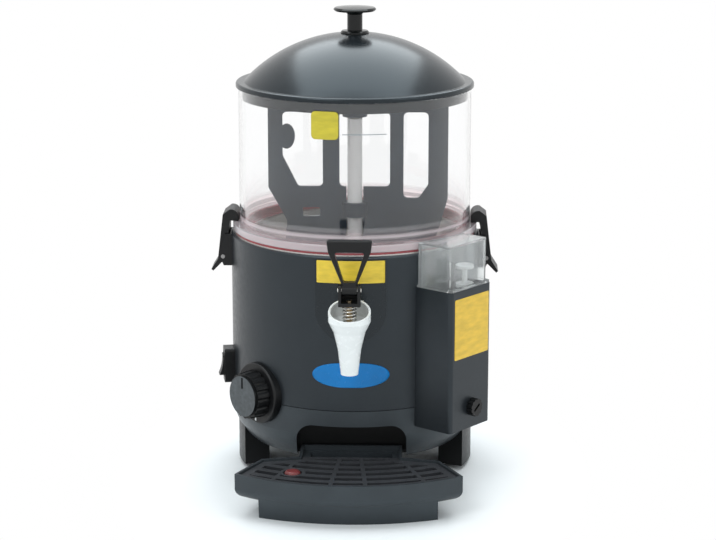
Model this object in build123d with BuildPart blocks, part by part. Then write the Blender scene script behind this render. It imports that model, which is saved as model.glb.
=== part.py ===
"""Hot chocolate dispenser: heated round base, clear bowl with stirrer, tap, water box and drip tray.

Millimetres. +Z is up, the front faces -Y, and the part stands on Z = 0.
The bowl's axis is vertical, at X = 0 and Y = AXIS_Y.
"""

import os
from math import cos, degrees, pi, radians, sin, sqrt

from build123d import *

# Round body
TRAY_FRONT_R = 214.0
GLAND_R = 126.0
AXIS_Y = (TRAY_FRONT_R - GLAND_R) / 2
BODY_R = 120.0
BODY_WALL = 2.5
BODY_TOP = 230.0
SEAM_Z = 82.0
SEAM_GAP = 0.8
SKIRT_BOTTOM = 30.0
SKIRT_R = 119.4
SKIRT_WALL = 3.0
SKIRT_TURN_Z = 56.0
SKIRT_TURN_IN = 15.0
RIM_INNER_R = 112.5
GAP = 0.3

# Recess in the front of the skirt, where the drip tray docks
RECESS_HALF = 52.0
RECESS_TOP = 66.0
RECESS_ROUND = 16.0
RECESS_BACK = 84.0
LINER_WALL = 2.0

# Base plate, legs and rubber pads
PLATE_R = 100.8
PLATE_Z = 33.2
PLATE_T = 3.0
LEG_INNER_R = 90.0
LEG_OUTER_R = 115.0
LEG_SPAN = 30.0
LEG_AZIMUTHS = (82.0, 145.0, 215.0, 278.0)
PAD_H = 4.0
PAD_R = 9.5
PAD_CENTRE_R = 103.5

# Steel pan, water bath and bowl seal
PAN_R = 100.0
PAN_WALL = 1.2
PAN_BOTTOM = 168.0
PAN_FLANGE_R = 117.0
BATH_R = 110.0
BATH_WALL = 1.0
BATH_BOTTOM = 132.0
SEAL_INNER_R = 103.0
SEAL_OUTER_R = 116.0
SEAL_H = 2.0
SEAL_LIP_R = 104.5
SEAL_LIP_TOP = 240.0

# Clear bowl
BOWL_R = 111.8
BOWL_WALL = 3.0
BOWL_TOP = 371.7
FLANGE_R = 118.3
FLANGE_H = 7.5

# Lid and its knob
LID_R = 114.2
LID_WALL = 2.2
LID_APEX = 422.5
DOME_R = 146.0
LIP_TOP = 376.5
LIP_ROUND = 2.2
SPIGOT_FIT = 0.6
SPIGOT_WALL = 2.4
SPIGOT_BOTTOM = 361.5
KNOB_TOP = 447.5
KNOB_CAP_R = 20.3
KNOB_CAP_H = 7.5
KNOB_STEM_R = 7.3
KNOB_BASE_R = 13.5
KNOB_BASE_H = 2.0

# Stirrer, its shaft and the fixed column round the shaft
COLUMN_R = 7.2
COLUMN_BORE = 5.5
COLUMN_TOP = 340.0
SHAFT_R = 4.0
PADDLE_T = 4.0
PADDLE_LEFT = -84.0
PADDLE_RIGHT = 90.0
PADDLE_TOP = 354.0
PADDLE_PLATE_TOP = 273.0
PADDLE_BOTTOM = 186.0
PADDLE_FOOT = 62.0
HUB_R = 12.0

# Gear motor under the pan
MOTOR_R = 31.0
MOTOR_BOTTOM = 46.0
MOTOR_TOP = 92.0
GEARBOX_TOP = 122.0

# Tap
TAP_Z = 180.0
TAP_OUT = 33.0
TAP_BARREL_R = 9.0
TAP_BORE_R = 6.0
TAP_NUT_R = 15.0
SPOUT_TIP = 128.0
SPOUT_LIP_FRONT = 181.0
SPOUT_LIP_BACK = 195.0
SPOUT_CUP_R = 19.5
SPOUT_TIP_R = 8.0
SPOUT_WALL = 2.0
SEAT_Z = 167.0
ORIFICE_R = 5.0
PLUNGER_R = 2.8
PLUNGER_TOP = 197.5
SPRING_LOW = 176.0
SPRING_HIGH = 193.5
SPRING_R = 6.0
SPRING_WIRE = 1.4
SPRING_TURNS = 5
LEVER_TOP = 254.0
LEVER_LOW = 215.0
LEVER_PIVOT_Z = 207.0
LEVER_PIN_R = 2.0
LEVER_HALF_TOP = 21.0
LEVER_HALF_LOW = 8.0
LEVER_HUB_HALF = 7.0
LEVER_T = 8.0
LEVER_BAR = 11.0
RUNNING = 0.05

# Water box on the right and its clear cover
BOX_AZIMUTH = 52.0
BOX_WIDTH = 61.4
BOX_ASIDE = -14.3
BOX_FACE_R = 153.3
BOX_BOTTOM = 63.0
BOX_TOP = 198.5
BOX_WALL = 2.0
COVER_TOP = 241.0
COVER_FACE_R = 149.0
COVER_WIDTH = 58.0
COVER_WALL = 2.0
PIPE_R = 5.0
PIPE_BORE = 3.5
PIPE_Z = 140.0

# Thermostat knob, mains switch
DIAL_AZIMUTH = -47.5
DIAL_Z = 88.0
DIAL_R = 29.5
SWITCH_AZIMUTH = -80.0
SWITCH_Z = 99.5

# Latches
LATCH_PIVOT_R = 127.7
LATCH_PIVOT_Z = 206.0
LATCH_WIDTH = 28.0
LATCH_PIN_R = 2.0
LATCH_TAIL_R = 139.4
LATCH_TAIL_Z = 191.0

# Drip tray
TRAY_TOP = 40.0
TRAY_STEP = 17.0
TRAY_HALF = 104.5
TRAY_SIDE_Y = -181.0
TRAY_REAR_HALF = 83.0
TRAY_REAR_Y = -137.0
TONGUE_HALF = 48.0
TONGUE_Y = -92.0
PLINTH_FRONT = 203.0
PLINTH_HALF = 82.0
PLINTH_SIDE_Y = -187.0
PLINTH_REAR_HALF = 66.0
TRAY_WALL = 2.4
GRATE_T = 3.0

AXIS = Axis((0, AXIS_Y, 0), (0, 0, 1))
MERIDIAN = Plane(origin=(0, AXIS_Y, 0), x_dir=(1, 0, 0), z_dir=(0, -1, 0))
os.makedirs("parts", exist_ok=True)


def level(z):
    """Horizontal plane at height z, centred on the bowl's axis."""
    return Plane(origin=(0, AXIS_Y, z))


def side(azimuth, radius, z):
    """Upright plane facing outward: local X runs to the right, local Y up."""
    a = radians(azimuth)
    origin = (radius * sin(a), AXIS_Y - radius * cos(a), z)
    return Plane(origin=origin, x_dir=(cos(a), sin(a), 0), z_dir=(sin(a), -cos(a), 0))


def ring(inner, outer, low, high):
    """Profile of a plain ring on the meridian plane."""
    with Locations(((inner + outer) / 2, (low + high) / 2)):
        Rectangle(outer - inner, high - low)


def save(piece, name):
    """Label a finished piece and write it as its own file."""
    piece.part.label = name
    export_step(piece.part, f"parts/{name}.step")


def at_radius(edge, radius):
    """True for a round edge of the given radius."""
    return edge.geom_type == GeomType.CIRCLE and abs(edge.radius - radius) < 0.01


def cylinder_cut(radius):
    """Take the round body's volume out of the piece being made."""
    with Locations((0, AXIS_Y, BODY_TOP / 2)):
        Cylinder(radius, 2 * BODY_TOP, mode=Mode.SUBTRACT)


def arch(plane, half, low, high, rounding):
    """Sketch of an upright opening with rounded top corners."""
    with BuildSketch(plane) as face:
        with BuildLine():
            FilletPolyline((-half, low), (-half, high), (half, high), (half, low), radius=rounding)
            Line((half, low), (-half, low))
        make_face()
    return face.sketch


def sector(plane, inner_r, outer_r, azimuth, span):
    """Sketch of a ring sector, centred on an azimuth measured from the front."""
    start = azimuth - 90 - span / 2
    with BuildSketch(plane) as face:
        with BuildLine():
            outer = CenterArc((0, 0), outer_r, start, span)
            inner = CenterArc((0, 0), inner_r, start, span)
            Line(outer @ 0, inner @ 0)
            Line(outer @ 1, inner @ 1)
        make_face()
    return face.sketch


PAN_TOP = BODY_TOP + PAN_WALL
BOWL_BASE = PAN_TOP + SEAL_H

# Housing shell: a drum with its top edge turned in
DIAL_HOLE_R = 5.5
SWITCH_W = 20.0
SWITCH_H = 34.0
with BuildPart() as housing_shell:
    with BuildSketch(MERIDIAN):
        with BuildLine():
            Polyline(
                (BODY_R, SEAM_Z),
                (BODY_R, BODY_TOP),
                (RIM_INNER_R, BODY_TOP),
                (RIM_INNER_R, BODY_TOP - BODY_WALL),
                (BODY_R - BODY_WALL, BODY_TOP - BODY_WALL),
                (BODY_R - BODY_WALL, SEAM_Z),
                close=True,
            )
        make_face()
    revolve(axis=AXIS)
    fillet(housing_shell.edges().group_by(Axis.Z)[-1].sort_by(SortBy.LENGTH)[-1], radius=2.0)
    with BuildSketch(side(0, BODY_R - 20, TAP_Z)):
        Circle(TAP_BARREL_R + GAP)
    extrude(amount=40, mode=Mode.SUBTRACT)
    with BuildSketch(side(DIAL_AZIMUTH, BODY_R - 20, DIAL_Z)):
        Circle(DIAL_HOLE_R)
    extrude(amount=40, mode=Mode.SUBTRACT)
    with BuildSketch(side(SWITCH_AZIMUTH, BODY_R - 20, SWITCH_Z)):
        Rectangle(SWITCH_W - 5, SWITCH_H - 7)
    extrude(amount=40, mode=Mode.SUBTRACT)
    with BuildSketch(side(BOX_AZIMUTH, BODY_R - 20, PIPE_Z)):
        Circle(PIPE_R)
    extrude(amount=40, mode=Mode.SUBTRACT)
save(housing_shell, "housing_shell")

# Lower skirt: an upright wall that turns in towards the legs, and a tongue behind the shell
SKIRT_BELLY = 0.29
TONGUE_DOWN = 6.0
TONGUE_UP = 3.0
TONGUE_INSET = 1.0


def skirt_side(radius, bottom):
    """Draw the skirt's wall from the seam down and return its two ends."""
    belly = (radius - SKIRT_BELLY * SKIRT_TURN_IN, (SKIRT_TURN_Z + bottom) / 2)
    upright = Line((radius, SEAM_Z - SEAM_GAP), (radius, SKIRT_TURN_Z))
    curve = ThreePointArc(upright @ 1, belly, (radius - SKIRT_TURN_IN, bottom))
    return upright @ 0, curve @ 1


def skirt_space(radius, bottom):
    """Solid that fills the skirt inside a wall of this radius."""
    with BuildPart() as space:
        with BuildSketch(MERIDIAN):
            with BuildLine():
                top, foot = skirt_side(radius, bottom)
                Polyline(foot, (0, foot.Y), (0, top.Y), top)
            make_face()
        revolve(axis=AXIS)
    return space.part


SKIRT_INNER_R = SKIRT_R - SKIRT_WALL
with BuildPart() as lower_skirt:
    with BuildSketch(MERIDIAN):
        with BuildLine():
            outer_top, outer_foot = skirt_side(SKIRT_R, SKIRT_BOTTOM)
            inner_top, inner_foot = skirt_side(SKIRT_INNER_R, SKIRT_BOTTOM + 1.0)
            Line(outer_top, inner_top)
            Line(outer_foot, inner_foot)
        make_face()
    revolve(axis=AXIS)
    with BuildSketch(MERIDIAN):
        ring(SKIRT_INNER_R - TONGUE_INSET, BODY_R - BODY_WALL - 0.1, SEAM_Z - TONGUE_DOWN, SEAM_Z + TONGUE_UP)
    revolve(axis=AXIS)
    with BuildSketch(side(DIAL_AZIMUTH, BODY_R - 20, DIAL_Z)):
        Circle(DIAL_HOLE_R + 1.0)
    extrude(amount=40, mode=Mode.SUBTRACT)
    opening = arch(side(0, RECESS_BACK, 0), RECESS_HALF, 0, RECESS_TOP, RECESS_ROUND)
    extrude(opening, amount=BODY_R, mode=Mode.SUBTRACT)
save(lower_skirt, "lower_skirt")

# Liner that closes the recess towards the inside of the base
with BuildPart() as recess_liner:
    back = side(0, RECESS_BACK - LINER_WALL, 0)
    shell = arch(back, RECESS_HALF + LINER_WALL, PLATE_Z, RECESS_TOP + LINER_WALL, RECESS_ROUND + LINER_WALL)
    extrude(shell, amount=BODY_R)
    opening = arch(side(0, RECESS_BACK, 0), RECESS_HALF, 0, RECESS_TOP, RECESS_ROUND)
    extrude(opening, amount=BODY_R, mode=Mode.SUBTRACT)
    add(skirt_space(SKIRT_INNER_R - 0.1, SKIRT_BOTTOM + 1.0), mode=Mode.INTERSECT)
save(recess_liner, "recess_liner")

# Base plate, notched for the recess
with BuildPart() as base_plate:
    with BuildSketch(level(PLATE_Z - PLATE_T)):
        Circle(PLATE_R)
        with Locations((0, -RECESS_BACK - PLATE_R / 2)):
            Rectangle(2 * RECESS_HALF, PLATE_R, mode=Mode.SUBTRACT)
        with PolarLocations(62, 5, start_angle=20):
            SlotOverall(34, 5, rotation=90, mode=Mode.SUBTRACT)
    extrude(amount=PLATE_T)
save(base_plate, "base_plate")


# Four curved legs whose tops follow the turned-in foot of the skirt
with BuildPart() as legs:
    for azimuth in LEG_AZIMUTHS:
        footprint = sector(level(PAD_H), LEG_INNER_R, LEG_OUTER_R, azimuth, LEG_SPAN)
        extrude(footprint, amount=SKIRT_TURN_Z - PAD_H)
    add(skirt_space(SKIRT_R, SKIRT_BOTTOM), mode=Mode.SUBTRACT)
save(legs, "legs")

# Rubber pads under the legs
with BuildPart() as rubber_pads:
    with BuildSketch(level(0)):
        for azimuth in LEG_AZIMUTHS:
            with Locations(Rotation(0, 0, azimuth - 90) * Pos(PAD_CENTRE_R, 0)):
                Circle(PAD_R)
    extrude(amount=PAD_H)
    chamfer(rubber_pads.edges().group_by(Axis.Z)[0], 0.8)
save(rubber_pads, "rubber_pads")

# Steel pan that closes the bowl from below: a flanged wall welded to a dished floor
PAN_DISH = 22.0
with BuildPart() as inner_pan:
    with BuildSketch(MERIDIAN):
        ring(PAN_R - PAN_WALL, PAN_R, PAN_BOTTOM + PAN_DISH, PAN_TOP)
        ring(PAN_R - PAN_WALL, PAN_FLANGE_R, BODY_TOP, PAN_TOP)
    revolve(axis=AXIS)
    with BuildSketch(side(0, PAN_R - 20, TAP_Z)):
        Circle(TAP_BARREL_R)
    extrude(amount=40, mode=Mode.SUBTRACT)
save(inner_pan, "inner_pan")

with BuildPart() as pan_floor:
    with BuildSketch(MERIDIAN):
        with BuildLine():
            Polyline(
                (COLUMN_R, PAN_BOTTOM),
                (PAN_R - PAN_DISH, PAN_BOTTOM),
                (PAN_R, PAN_BOTTOM + PAN_DISH),
                (PAN_R - PAN_WALL, PAN_BOTTOM + PAN_DISH),
                (PAN_R - PAN_DISH - PAN_WALL / 2, PAN_BOTTOM + PAN_WALL),
                (COLUMN_R, PAN_BOTTOM + PAN_WALL),
                close=True,
            )
        make_face()
    revolve(axis=AXIS)
    with BuildSketch(side(0, PAN_R - 20, TAP_Z)):
        Circle(TAP_BARREL_R)
    extrude(amount=40, mode=Mode.SUBTRACT)
save(pan_floor, "pan_floor")

# Water bath round the pan, with a dry sleeve for the shaft
SLEEVE_R = 9.0
HEATER_R = 66.0
HEATER_ROD = 4.0
HEATER_SWEEP = 315.0
HEATER_Z = 146.0
with BuildPart() as water_bath:
    with BuildSketch(MERIDIAN):
        with BuildLine():
            Polyline(
                (SLEEVE_R - BATH_WALL, BATH_BOTTOM),
                (BATH_R, BATH_BOTTOM),
                (BATH_R, BODY_TOP),
                (BATH_R - BATH_WALL, BODY_TOP),
                (BATH_R - BATH_WALL, BATH_BOTTOM + BATH_WALL),
                (SLEEVE_R, BATH_BOTTOM + BATH_WALL),
                (SLEEVE_R, PAN_BOTTOM),
                (SLEEVE_R - BATH_WALL, PAN_BOTTOM),
                close=True,
            )
        make_face()
    revolve(axis=AXIS)
    with BuildSketch(side(0, BATH_R - 20, TAP_Z)):
        Circle(TAP_BARREL_R)
    extrude(amount=40, mode=Mode.SUBTRACT)
    with BuildSketch(level(BATH_BOTTOM)):
        for angle in (0, HEATER_SWEEP):
            with Locations(Rotation(0, 0, angle) * Pos(HEATER_R, 0)):
                Circle(HEATER_ROD)
    extrude(amount=BATH_WALL, mode=Mode.SUBTRACT)
save(water_bath, "water_bath")

# Tubular heating element in the bath, with its two terminals through the floor
with BuildPart() as heating_element:
    with BuildSketch(MERIDIAN):
        with Locations((HEATER_R, HEATER_Z)):
            Circle(HEATER_ROD)
    revolve(axis=AXIS, revolution_arc=HEATER_SWEEP)
    with BuildSketch(level(BATH_BOTTOM - 12)):
        for angle in (0, HEATER_SWEEP):
            with Locations(Rotation(0, 0, angle) * Pos(HEATER_R, 0)):
                Circle(HEATER_ROD)
    extrude(amount=HEATER_Z - BATH_BOTTOM + 12)
save(heating_element, "heating_element")

# Gear motor: round motor, square gearbox and output boss
with BuildPart() as gear_motor:
    with BuildSketch(level(MOTOR_BOTTOM)):
        Circle(MOTOR_R)
    extrude(amount=MOTOR_TOP - MOTOR_BOTTOM)
    fillet(gear_motor.edges().group_by(Axis.Z)[0], radius=4)
    with BuildSketch(level(MOTOR_TOP)):
        RectangleRounded(74, 66, 8)
    extrude(amount=GEARBOX_TOP - MOTOR_TOP)
    with BuildSketch(level(GEARBOX_TOP - 22)):
        Circle(SHAFT_R + 0.05)
    extrude(amount=30, mode=Mode.SUBTRACT)
save(gear_motor, "gear_motor")

# Bracket that hangs the motor under the bath
with BuildPart() as motor_bracket:
    with BuildSketch(level(GEARBOX_TOP)):
        RectangleRounded(124, 60, 6)
        Circle(SLEEVE_R, mode=Mode.SUBTRACT)
    extrude(amount=3)
    with BuildSketch(level(GEARBOX_TOP)):
        with GridLocations(108, 44, 2, 2):
            Circle(4)
    extrude(amount=BATH_BOTTOM - GEARBOX_TOP)
save(motor_bracket, "motor_bracket")

# Silicone seal between pan and bowl, with an upright lip inside the bowl wall
with BuildPart() as bowl_seal:
    with BuildSketch(MERIDIAN):
        ring(SEAL_INNER_R, SEAL_OUTER_R, PAN_TOP, BOWL_BASE)
        ring(SEAL_LIP_R, BOWL_R - BOWL_WALL - GAP, PAN_TOP, SEAL_LIP_TOP)
    revolve(axis=AXIS)
    fillet(bowl_seal.edges().group_by(Axis.Z)[-1], radius=1.2)
save(bowl_seal, "bowl_seal")

# Clear bowl: a tube with a foot flange
with BuildPart() as bowl:
    with BuildSketch(MERIDIAN):
        ring(BOWL_R - BOWL_WALL, BOWL_R, BOWL_BASE, BOWL_TOP)
        ring(BOWL_R - BOWL_WALL, FLANGE_R, BOWL_BASE, BOWL_BASE + FLANGE_H)
    revolve(axis=AXIS)
    fillet(bowl.edges().group_by(Axis.Z)[-1], radius=1.0)
    fillet(bowl.edges().filter_by(lambda edge: at_radius(edge, FLANGE_R)), radius=1.5)
save(bowl, "bowl")

# Lid: a dome with a flat lip that rests on the bowl, and a spigot inside the bowl
DOME_CENTRE = LID_APEX - DOME_R
DOME_FOOT_R = sqrt(DOME_R ** 2 - (LIP_TOP - DOME_CENTRE) ** 2)
LIP_BOTTOM = BOWL_TOP + GAP
SPIGOT_R = BOWL_R - BOWL_WALL - SPIGOT_FIT
SPIGOT_INNER_R = SPIGOT_R - SPIGOT_WALL
LID_HOLE_R = 3.2


def dome_z(radius, thickness=0.0):
    """Height of the dome, or of its underside, at a radius."""
    return DOME_CENTRE + sqrt((DOME_R - thickness) ** 2 - radius ** 2)


def dome_arc(first, last, thickness=0.0, lift=0.0):
    """Arc along the dome, or along its underside, between two radii."""
    points = [(r, dome_z(r, thickness) + lift) for r in (first, (first + last) / 2, last)]
    return ThreePointArc(*points)


with BuildPart() as lid:
    with BuildSketch(MERIDIAN):
        with BuildLine():
            crown = dome_arc(LID_HOLE_R, DOME_FOOT_R)
            under = dome_arc(LID_HOLE_R, SPIGOT_INNER_R, LID_WALL)
            lip = Line(crown @ 1, (LID_R - LIP_ROUND, LIP_TOP))
            edge = RadiusArc(lip @ 1, (LID_R, LIP_TOP - LIP_ROUND), LIP_ROUND)
            Polyline(
                edge @ 1,
                (LID_R, LIP_BOTTOM),
                (SPIGOT_R, LIP_BOTTOM),
                (SPIGOT_R, SPIGOT_BOTTOM),
                (SPIGOT_INNER_R, SPIGOT_BOTTOM),
                under @ 1,
            )
            Line(crown @ 0, under @ 0)
        make_face()
    revolve(axis=AXIS)
save(lid, "lid")

# Lid knob: thin foot, straight stem and a broad cap, held by a screw from below
KNOB_SEAT = 0.1
KNOB_EDGE = 1.2
KNOB_CAP_LOW = KNOB_TOP - KNOB_CAP_H
KNOB_CAP_RIM = 3.2
KNOB_CAP_CROWN = 1.2
KNOB_CROWN_EDGE = KNOB_CAP_R - KNOB_EDGE
KNOB_CROWN_R = (KNOB_CROWN_EDGE ** 2 + KNOB_CAP_CROWN ** 2) / (2 * KNOB_CAP_CROWN)
KNOB_CROWN_DROP = KNOB_CROWN_R - sqrt(KNOB_CROWN_R ** 2 - (KNOB_CROWN_EDGE / 2) ** 2)
with BuildPart() as lid_knob:
    with BuildSketch(MERIDIAN):
        with BuildLine():
            foot = dome_arc(0, KNOB_BASE_R, lift=KNOB_SEAT)
            stem = Polyline(
                foot @ 1,
                foot @ 1 + Vector(0, KNOB_EDGE),
                (KNOB_BASE_R - KNOB_EDGE, LID_APEX + KNOB_BASE_H),
                (KNOB_STEM_R, LID_APEX + KNOB_BASE_H + KNOB_EDGE / 2),
                (KNOB_STEM_R, KNOB_CAP_LOW),
            )
            flare = ThreePointArc(
                stem @ 1,
                (KNOB_STEM_R + 2.0, KNOB_CAP_LOW + 2.0),
                (KNOB_CAP_R - KNOB_EDGE, KNOB_TOP - KNOB_CAP_CROWN - KNOB_CAP_RIM),
            )
            cap = Polyline(
                flare @ 1,
                (KNOB_CAP_R, KNOB_TOP - KNOB_CAP_CROWN - KNOB_CAP_RIM + KNOB_EDGE),
                (KNOB_CAP_R, KNOB_TOP - KNOB_CAP_CROWN - KNOB_EDGE),
                (KNOB_CAP_R - KNOB_EDGE, KNOB_TOP - KNOB_CAP_CROWN),
            )
            ThreePointArc(cap @ 1, (KNOB_CROWN_EDGE / 2, KNOB_TOP - KNOB_CROWN_DROP), (0, KNOB_TOP))
            Line((0, KNOB_TOP), foot @ 0)
        make_face()
    revolve(axis=AXIS)
    with BuildSketch(level(LID_APEX)):
        Circle(LID_HOLE_R - 0.2)
    extrude(amount=14, mode=Mode.SUBTRACT)
save(lid_knob, "lid_knob")

# Screw that holds the lid knob
with BuildPart() as knob_screw:
    with BuildSketch(level(LID_APEX - LID_WALL - 3.2)):
        Circle(6.0)
        RegularPolygon(2.0, 6, mode=Mode.SUBTRACT)
    extrude(amount=3.0)
    with BuildSketch(level(LID_APEX - LID_WALL - 1.6)):
        Circle(LID_HOLE_R - 0.2)
    extrude(amount=14)
save(knob_screw, "knob_screw")

# Pale column that keeps the drink away from the shaft
COLUMN_FOOT_R = 13.0
with BuildPart() as shaft_column:
    with BuildSketch(level(PAN_BOTTOM + PAN_WALL)):
        Circle(COLUMN_R)
    extrude(amount=COLUMN_TOP - PAN_BOTTOM - PAN_WALL)
    with BuildSketch(level(PAN_BOTTOM + PAN_WALL)):
        Circle(COLUMN_FOOT_R)
    extrude(amount=4)
    with BuildSketch(level(PAN_BOTTOM)):
        Circle(COLUMN_BORE)
    extrude(amount=COLUMN_TOP, mode=Mode.SUBTRACT)
save(shaft_column, "shaft_column")

# Drive shaft inside the column, with a square head for the stirrer
SHAFT_BOTTOM = GEARBOX_TOP - 21.5
SHAFT_TOP = PADDLE_TOP - 1.0
SQUARE_HEAD = 5.6
with BuildPart() as drive_shaft:
    with BuildSketch(level(SHAFT_BOTTOM)):
        Circle(SHAFT_R)
    extrude(amount=COLUMN_TOP + 1 - SHAFT_BOTTOM)
    with BuildSketch(level(COLUMN_TOP + 1)):
        Rectangle(SQUARE_HEAD, SQUARE_HEAD)
    extrude(amount=SHAFT_TOP - COLUMN_TOP - 1)
save(drive_shaft, "drive_shaft")

# Stirrer: a flat frame with windows, a hub on the shaft head and a foot in the pan
PADDLE = Plane(origin=(0, AXIS_Y + PADDLE_T / 2, 0), x_dir=(1, 0, 0), z_dir=(0, -1, 0))
WINDOW_TOP = 346.0
COLUMN_SLOT = COLUMN_R + 1.0
FOOT_TOP = 240.0
WINDOW_ROUND = 4.5
WINDOWS = (
    ((-70, WINDOW_TOP), (-70, 303), (-55, PADDLE_PLATE_TOP), (-31, PADDLE_PLATE_TOP), (-31, WINDOW_TOP)),
    ((-15, WINDOW_TOP), (-15, PADDLE_PLATE_TOP), (34, PADDLE_PLATE_TOP), (34, WINDOW_TOP)),
    ((47, WINDOW_TOP), (47, 262), (62, 262), (71, 275), (71, WINDOW_TOP)),
)
with BuildPart() as stirrer:
    with BuildSketch(PADDLE):
        with BuildLine():
            FilletPolyline(
                (PADDLE_LEFT, PADDLE_TOP),
                (PADDLE_LEFT, 272.0),
                (-66.0, FOOT_TOP),
                (-PADDLE_FOOT - 6.0, FOOT_TOP - 30.0),
                (-PADDLE_FOOT, PADDLE_BOTTOM),
                (PADDLE_FOOT, PADDLE_BOTTOM),
                (PADDLE_FOOT + 12.0, FOOT_TOP - 30.0),
                (PADDLE_RIGHT - 6.0, FOOT_TOP),
                (PADDLE_RIGHT, 262.0),
                (PADDLE_RIGHT, PADDLE_TOP),
                radius=7.0,
            )
            Line((PADDLE_RIGHT, PADDLE_TOP), (PADDLE_LEFT, PADDLE_TOP))
        make_face()
        for corners in WINDOWS:
            with BuildLine():
                FilletPolyline(*corners, radius=WINDOW_ROUND, close=True)
            make_face(mode=Mode.SUBTRACT)
        with Locations((0, (PADDLE_BOTTOM + WINDOW_TOP - 20) / 2)):
            Rectangle(2 * COLUMN_SLOT, WINDOW_TOP - 20 - PADDLE_BOTTOM + 12, mode=Mode.SUBTRACT)
        with Locations((-42.0, 248.0)):
            RectangleRounded(17.0, 9.0, 2.0, mode=Mode.SUBTRACT)
        with Locations((-66.0, 322.0)):
            Ellipse(8.0, 12.0)
    extrude(amount=PADDLE_T)
    with BuildSketch(level(WINDOW_TOP - 4)):
        Circle(HUB_R)
    extrude(amount=PADDLE_TOP - WINDOW_TOP + 4)
    for low in (FOOT_TOP + 4, PADDLE_BOTTOM + 2):
        with BuildSketch(level(low)):
            Circle(HUB_R)
            Circle(COLUMN_SLOT, mode=Mode.SUBTRACT)
        extrude(amount=14)
    with BuildSketch(level(COLUMN_TOP)):
        Rectangle(SQUARE_HEAD, SQUARE_HEAD)
    extrude(amount=SHAFT_TOP - COLUMN_TOP, mode=Mode.SUBTRACT)
save(stirrer, "stirrer")

# Plate round the tap, curved to the drum, with rounded lower corners
PLATE_HALF = 33.0
ESCUTCHEON_LOW = 148.0
ESCUTCHEON_T = 1.4
with BuildPart() as escutcheon:
    with BuildSketch(MERIDIAN):
        ring(BODY_R, BODY_R + ESCUTCHEON_T, ESCUTCHEON_LOW, BODY_TOP - 3)
    revolve(axis=AXIS)
    with BuildSketch(side(0, BODY_R - 30, 0)):
        with BuildLine():
            Polyline(
                (-PLATE_HALF, ESCUTCHEON_LOW + 26),
                (-PLATE_HALF, BODY_TOP - 3),
                (PLATE_HALF, BODY_TOP - 3),
                (PLATE_HALF, ESCUTCHEON_LOW + 26),
            )
            ThreePointArc(
                (PLATE_HALF, ESCUTCHEON_LOW + 26),
                (0, ESCUTCHEON_LOW),
                (-PLATE_HALF, ESCUTCHEON_LOW + 26),
            )
        make_face()
        with Locations((0, TAP_Z)):
            Circle(TAP_BARREL_R + GAP, mode=Mode.SUBTRACT)
    extrude(amount=60, mode=Mode.INTERSECT)
save(escutcheon, "escutcheon")

# Tap body: barrel from the pan, cup with a slanted lip, tapered spout
SPOUT_Y = AXIS_Y - BODY_R - TAP_OUT
SPOUT_AXIS = Axis((0, SPOUT_Y, 0), (0, 0, 1))
SPOUT_MERIDIAN = Plane(origin=(0, SPOUT_Y, 0), x_dir=(1, 0, 0), z_dir=(0, -1, 0))
SPOUT_OUTLINE = (
    (SPOUT_TIP_R, SPOUT_TIP),
    (10.8, 152.0),
    (14.6, 168.0),
    (SPOUT_CUP_R, 178.0),
    (SPOUT_CUP_R, SPOUT_LIP_BACK),
)


def spout_level(z):
    """Horizontal plane at height z, centred on the spout."""
    return Plane(origin=(0, SPOUT_Y, z))


with BuildPart() as tap_body:
    with BuildSketch(MERIDIAN.offset(PAN_R - 6)):
        with Locations((0, TAP_Z)):
            Circle(TAP_BARREL_R)
    extrude(amount=BODY_R + TAP_OUT - PAN_R + 6)
    with BuildSketch(SPOUT_MERIDIAN):
        with BuildLine():
            wall = Polyline(*SPOUT_OUTLINE)
            Polyline(wall @ 1, (0, SPOUT_LIP_BACK), (0, SPOUT_TIP), wall @ 0)
        make_face()
    revolve(axis=SPOUT_AXIS)
    with BuildSketch(SPOUT_MERIDIAN):
        with BuildLine():
            bore = Polyline(
                (0, SEAT_Z),
                (SPOUT_OUTLINE[2][0] - SPOUT_WALL, SEAT_Z + 1.0),
                (SPOUT_CUP_R - SPOUT_WALL, SPOUT_OUTLINE[3][1] + 1.0),
                (SPOUT_CUP_R - SPOUT_WALL, SPOUT_LIP_BACK + 1),
                (0, SPOUT_LIP_BACK + 1),
            )
            Line(bore @ 1, bore @ 0)
        make_face()
    revolve(axis=SPOUT_AXIS, mode=Mode.SUBTRACT)
    with BuildSketch(SPOUT_MERIDIAN):
        with BuildLine():
            Polyline(
                (0, SPOUT_TIP - 1),
                (SPOUT_TIP_R - SPOUT_WALL, SPOUT_TIP - 1),
                (10.8 - SPOUT_WALL, 152.0),
                (ORIFICE_R, SEAT_Z - 3),
                (ORIFICE_R, SEAT_Z + 1),
                (0, SEAT_Z + 1),
                close=True,
            )
        make_face()
    revolve(axis=SPOUT_AXIS, mode=Mode.SUBTRACT)
    with BuildSketch(MERIDIAN.offset(PAN_R - 10)):
        with Locations((0, TAP_Z)):
            Circle(TAP_BORE_R)
    extrude(amount=BODY_R + TAP_OUT - PAN_R, mode=Mode.SUBTRACT)
    with BuildSketch(Plane.YZ.offset(-40)):
        with BuildLine():
            Polyline(
                (SPOUT_Y - SPOUT_CUP_R - 1, SPOUT_LIP_FRONT),
                (SPOUT_Y - 2, SPOUT_LIP_FRONT + 5),
                (SPOUT_Y + SPOUT_CUP_R + 1, SPOUT_LIP_BACK),
                (SPOUT_Y + SPOUT_CUP_R + 1, SPOUT_LIP_BACK + 5),
                (SPOUT_Y - SPOUT_CUP_R - 1, SPOUT_LIP_BACK + 5),
                close=True,
            )
        make_face()
    extrude(amount=80, mode=Mode.SUBTRACT)
save(tap_body, "tap_body")

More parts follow.
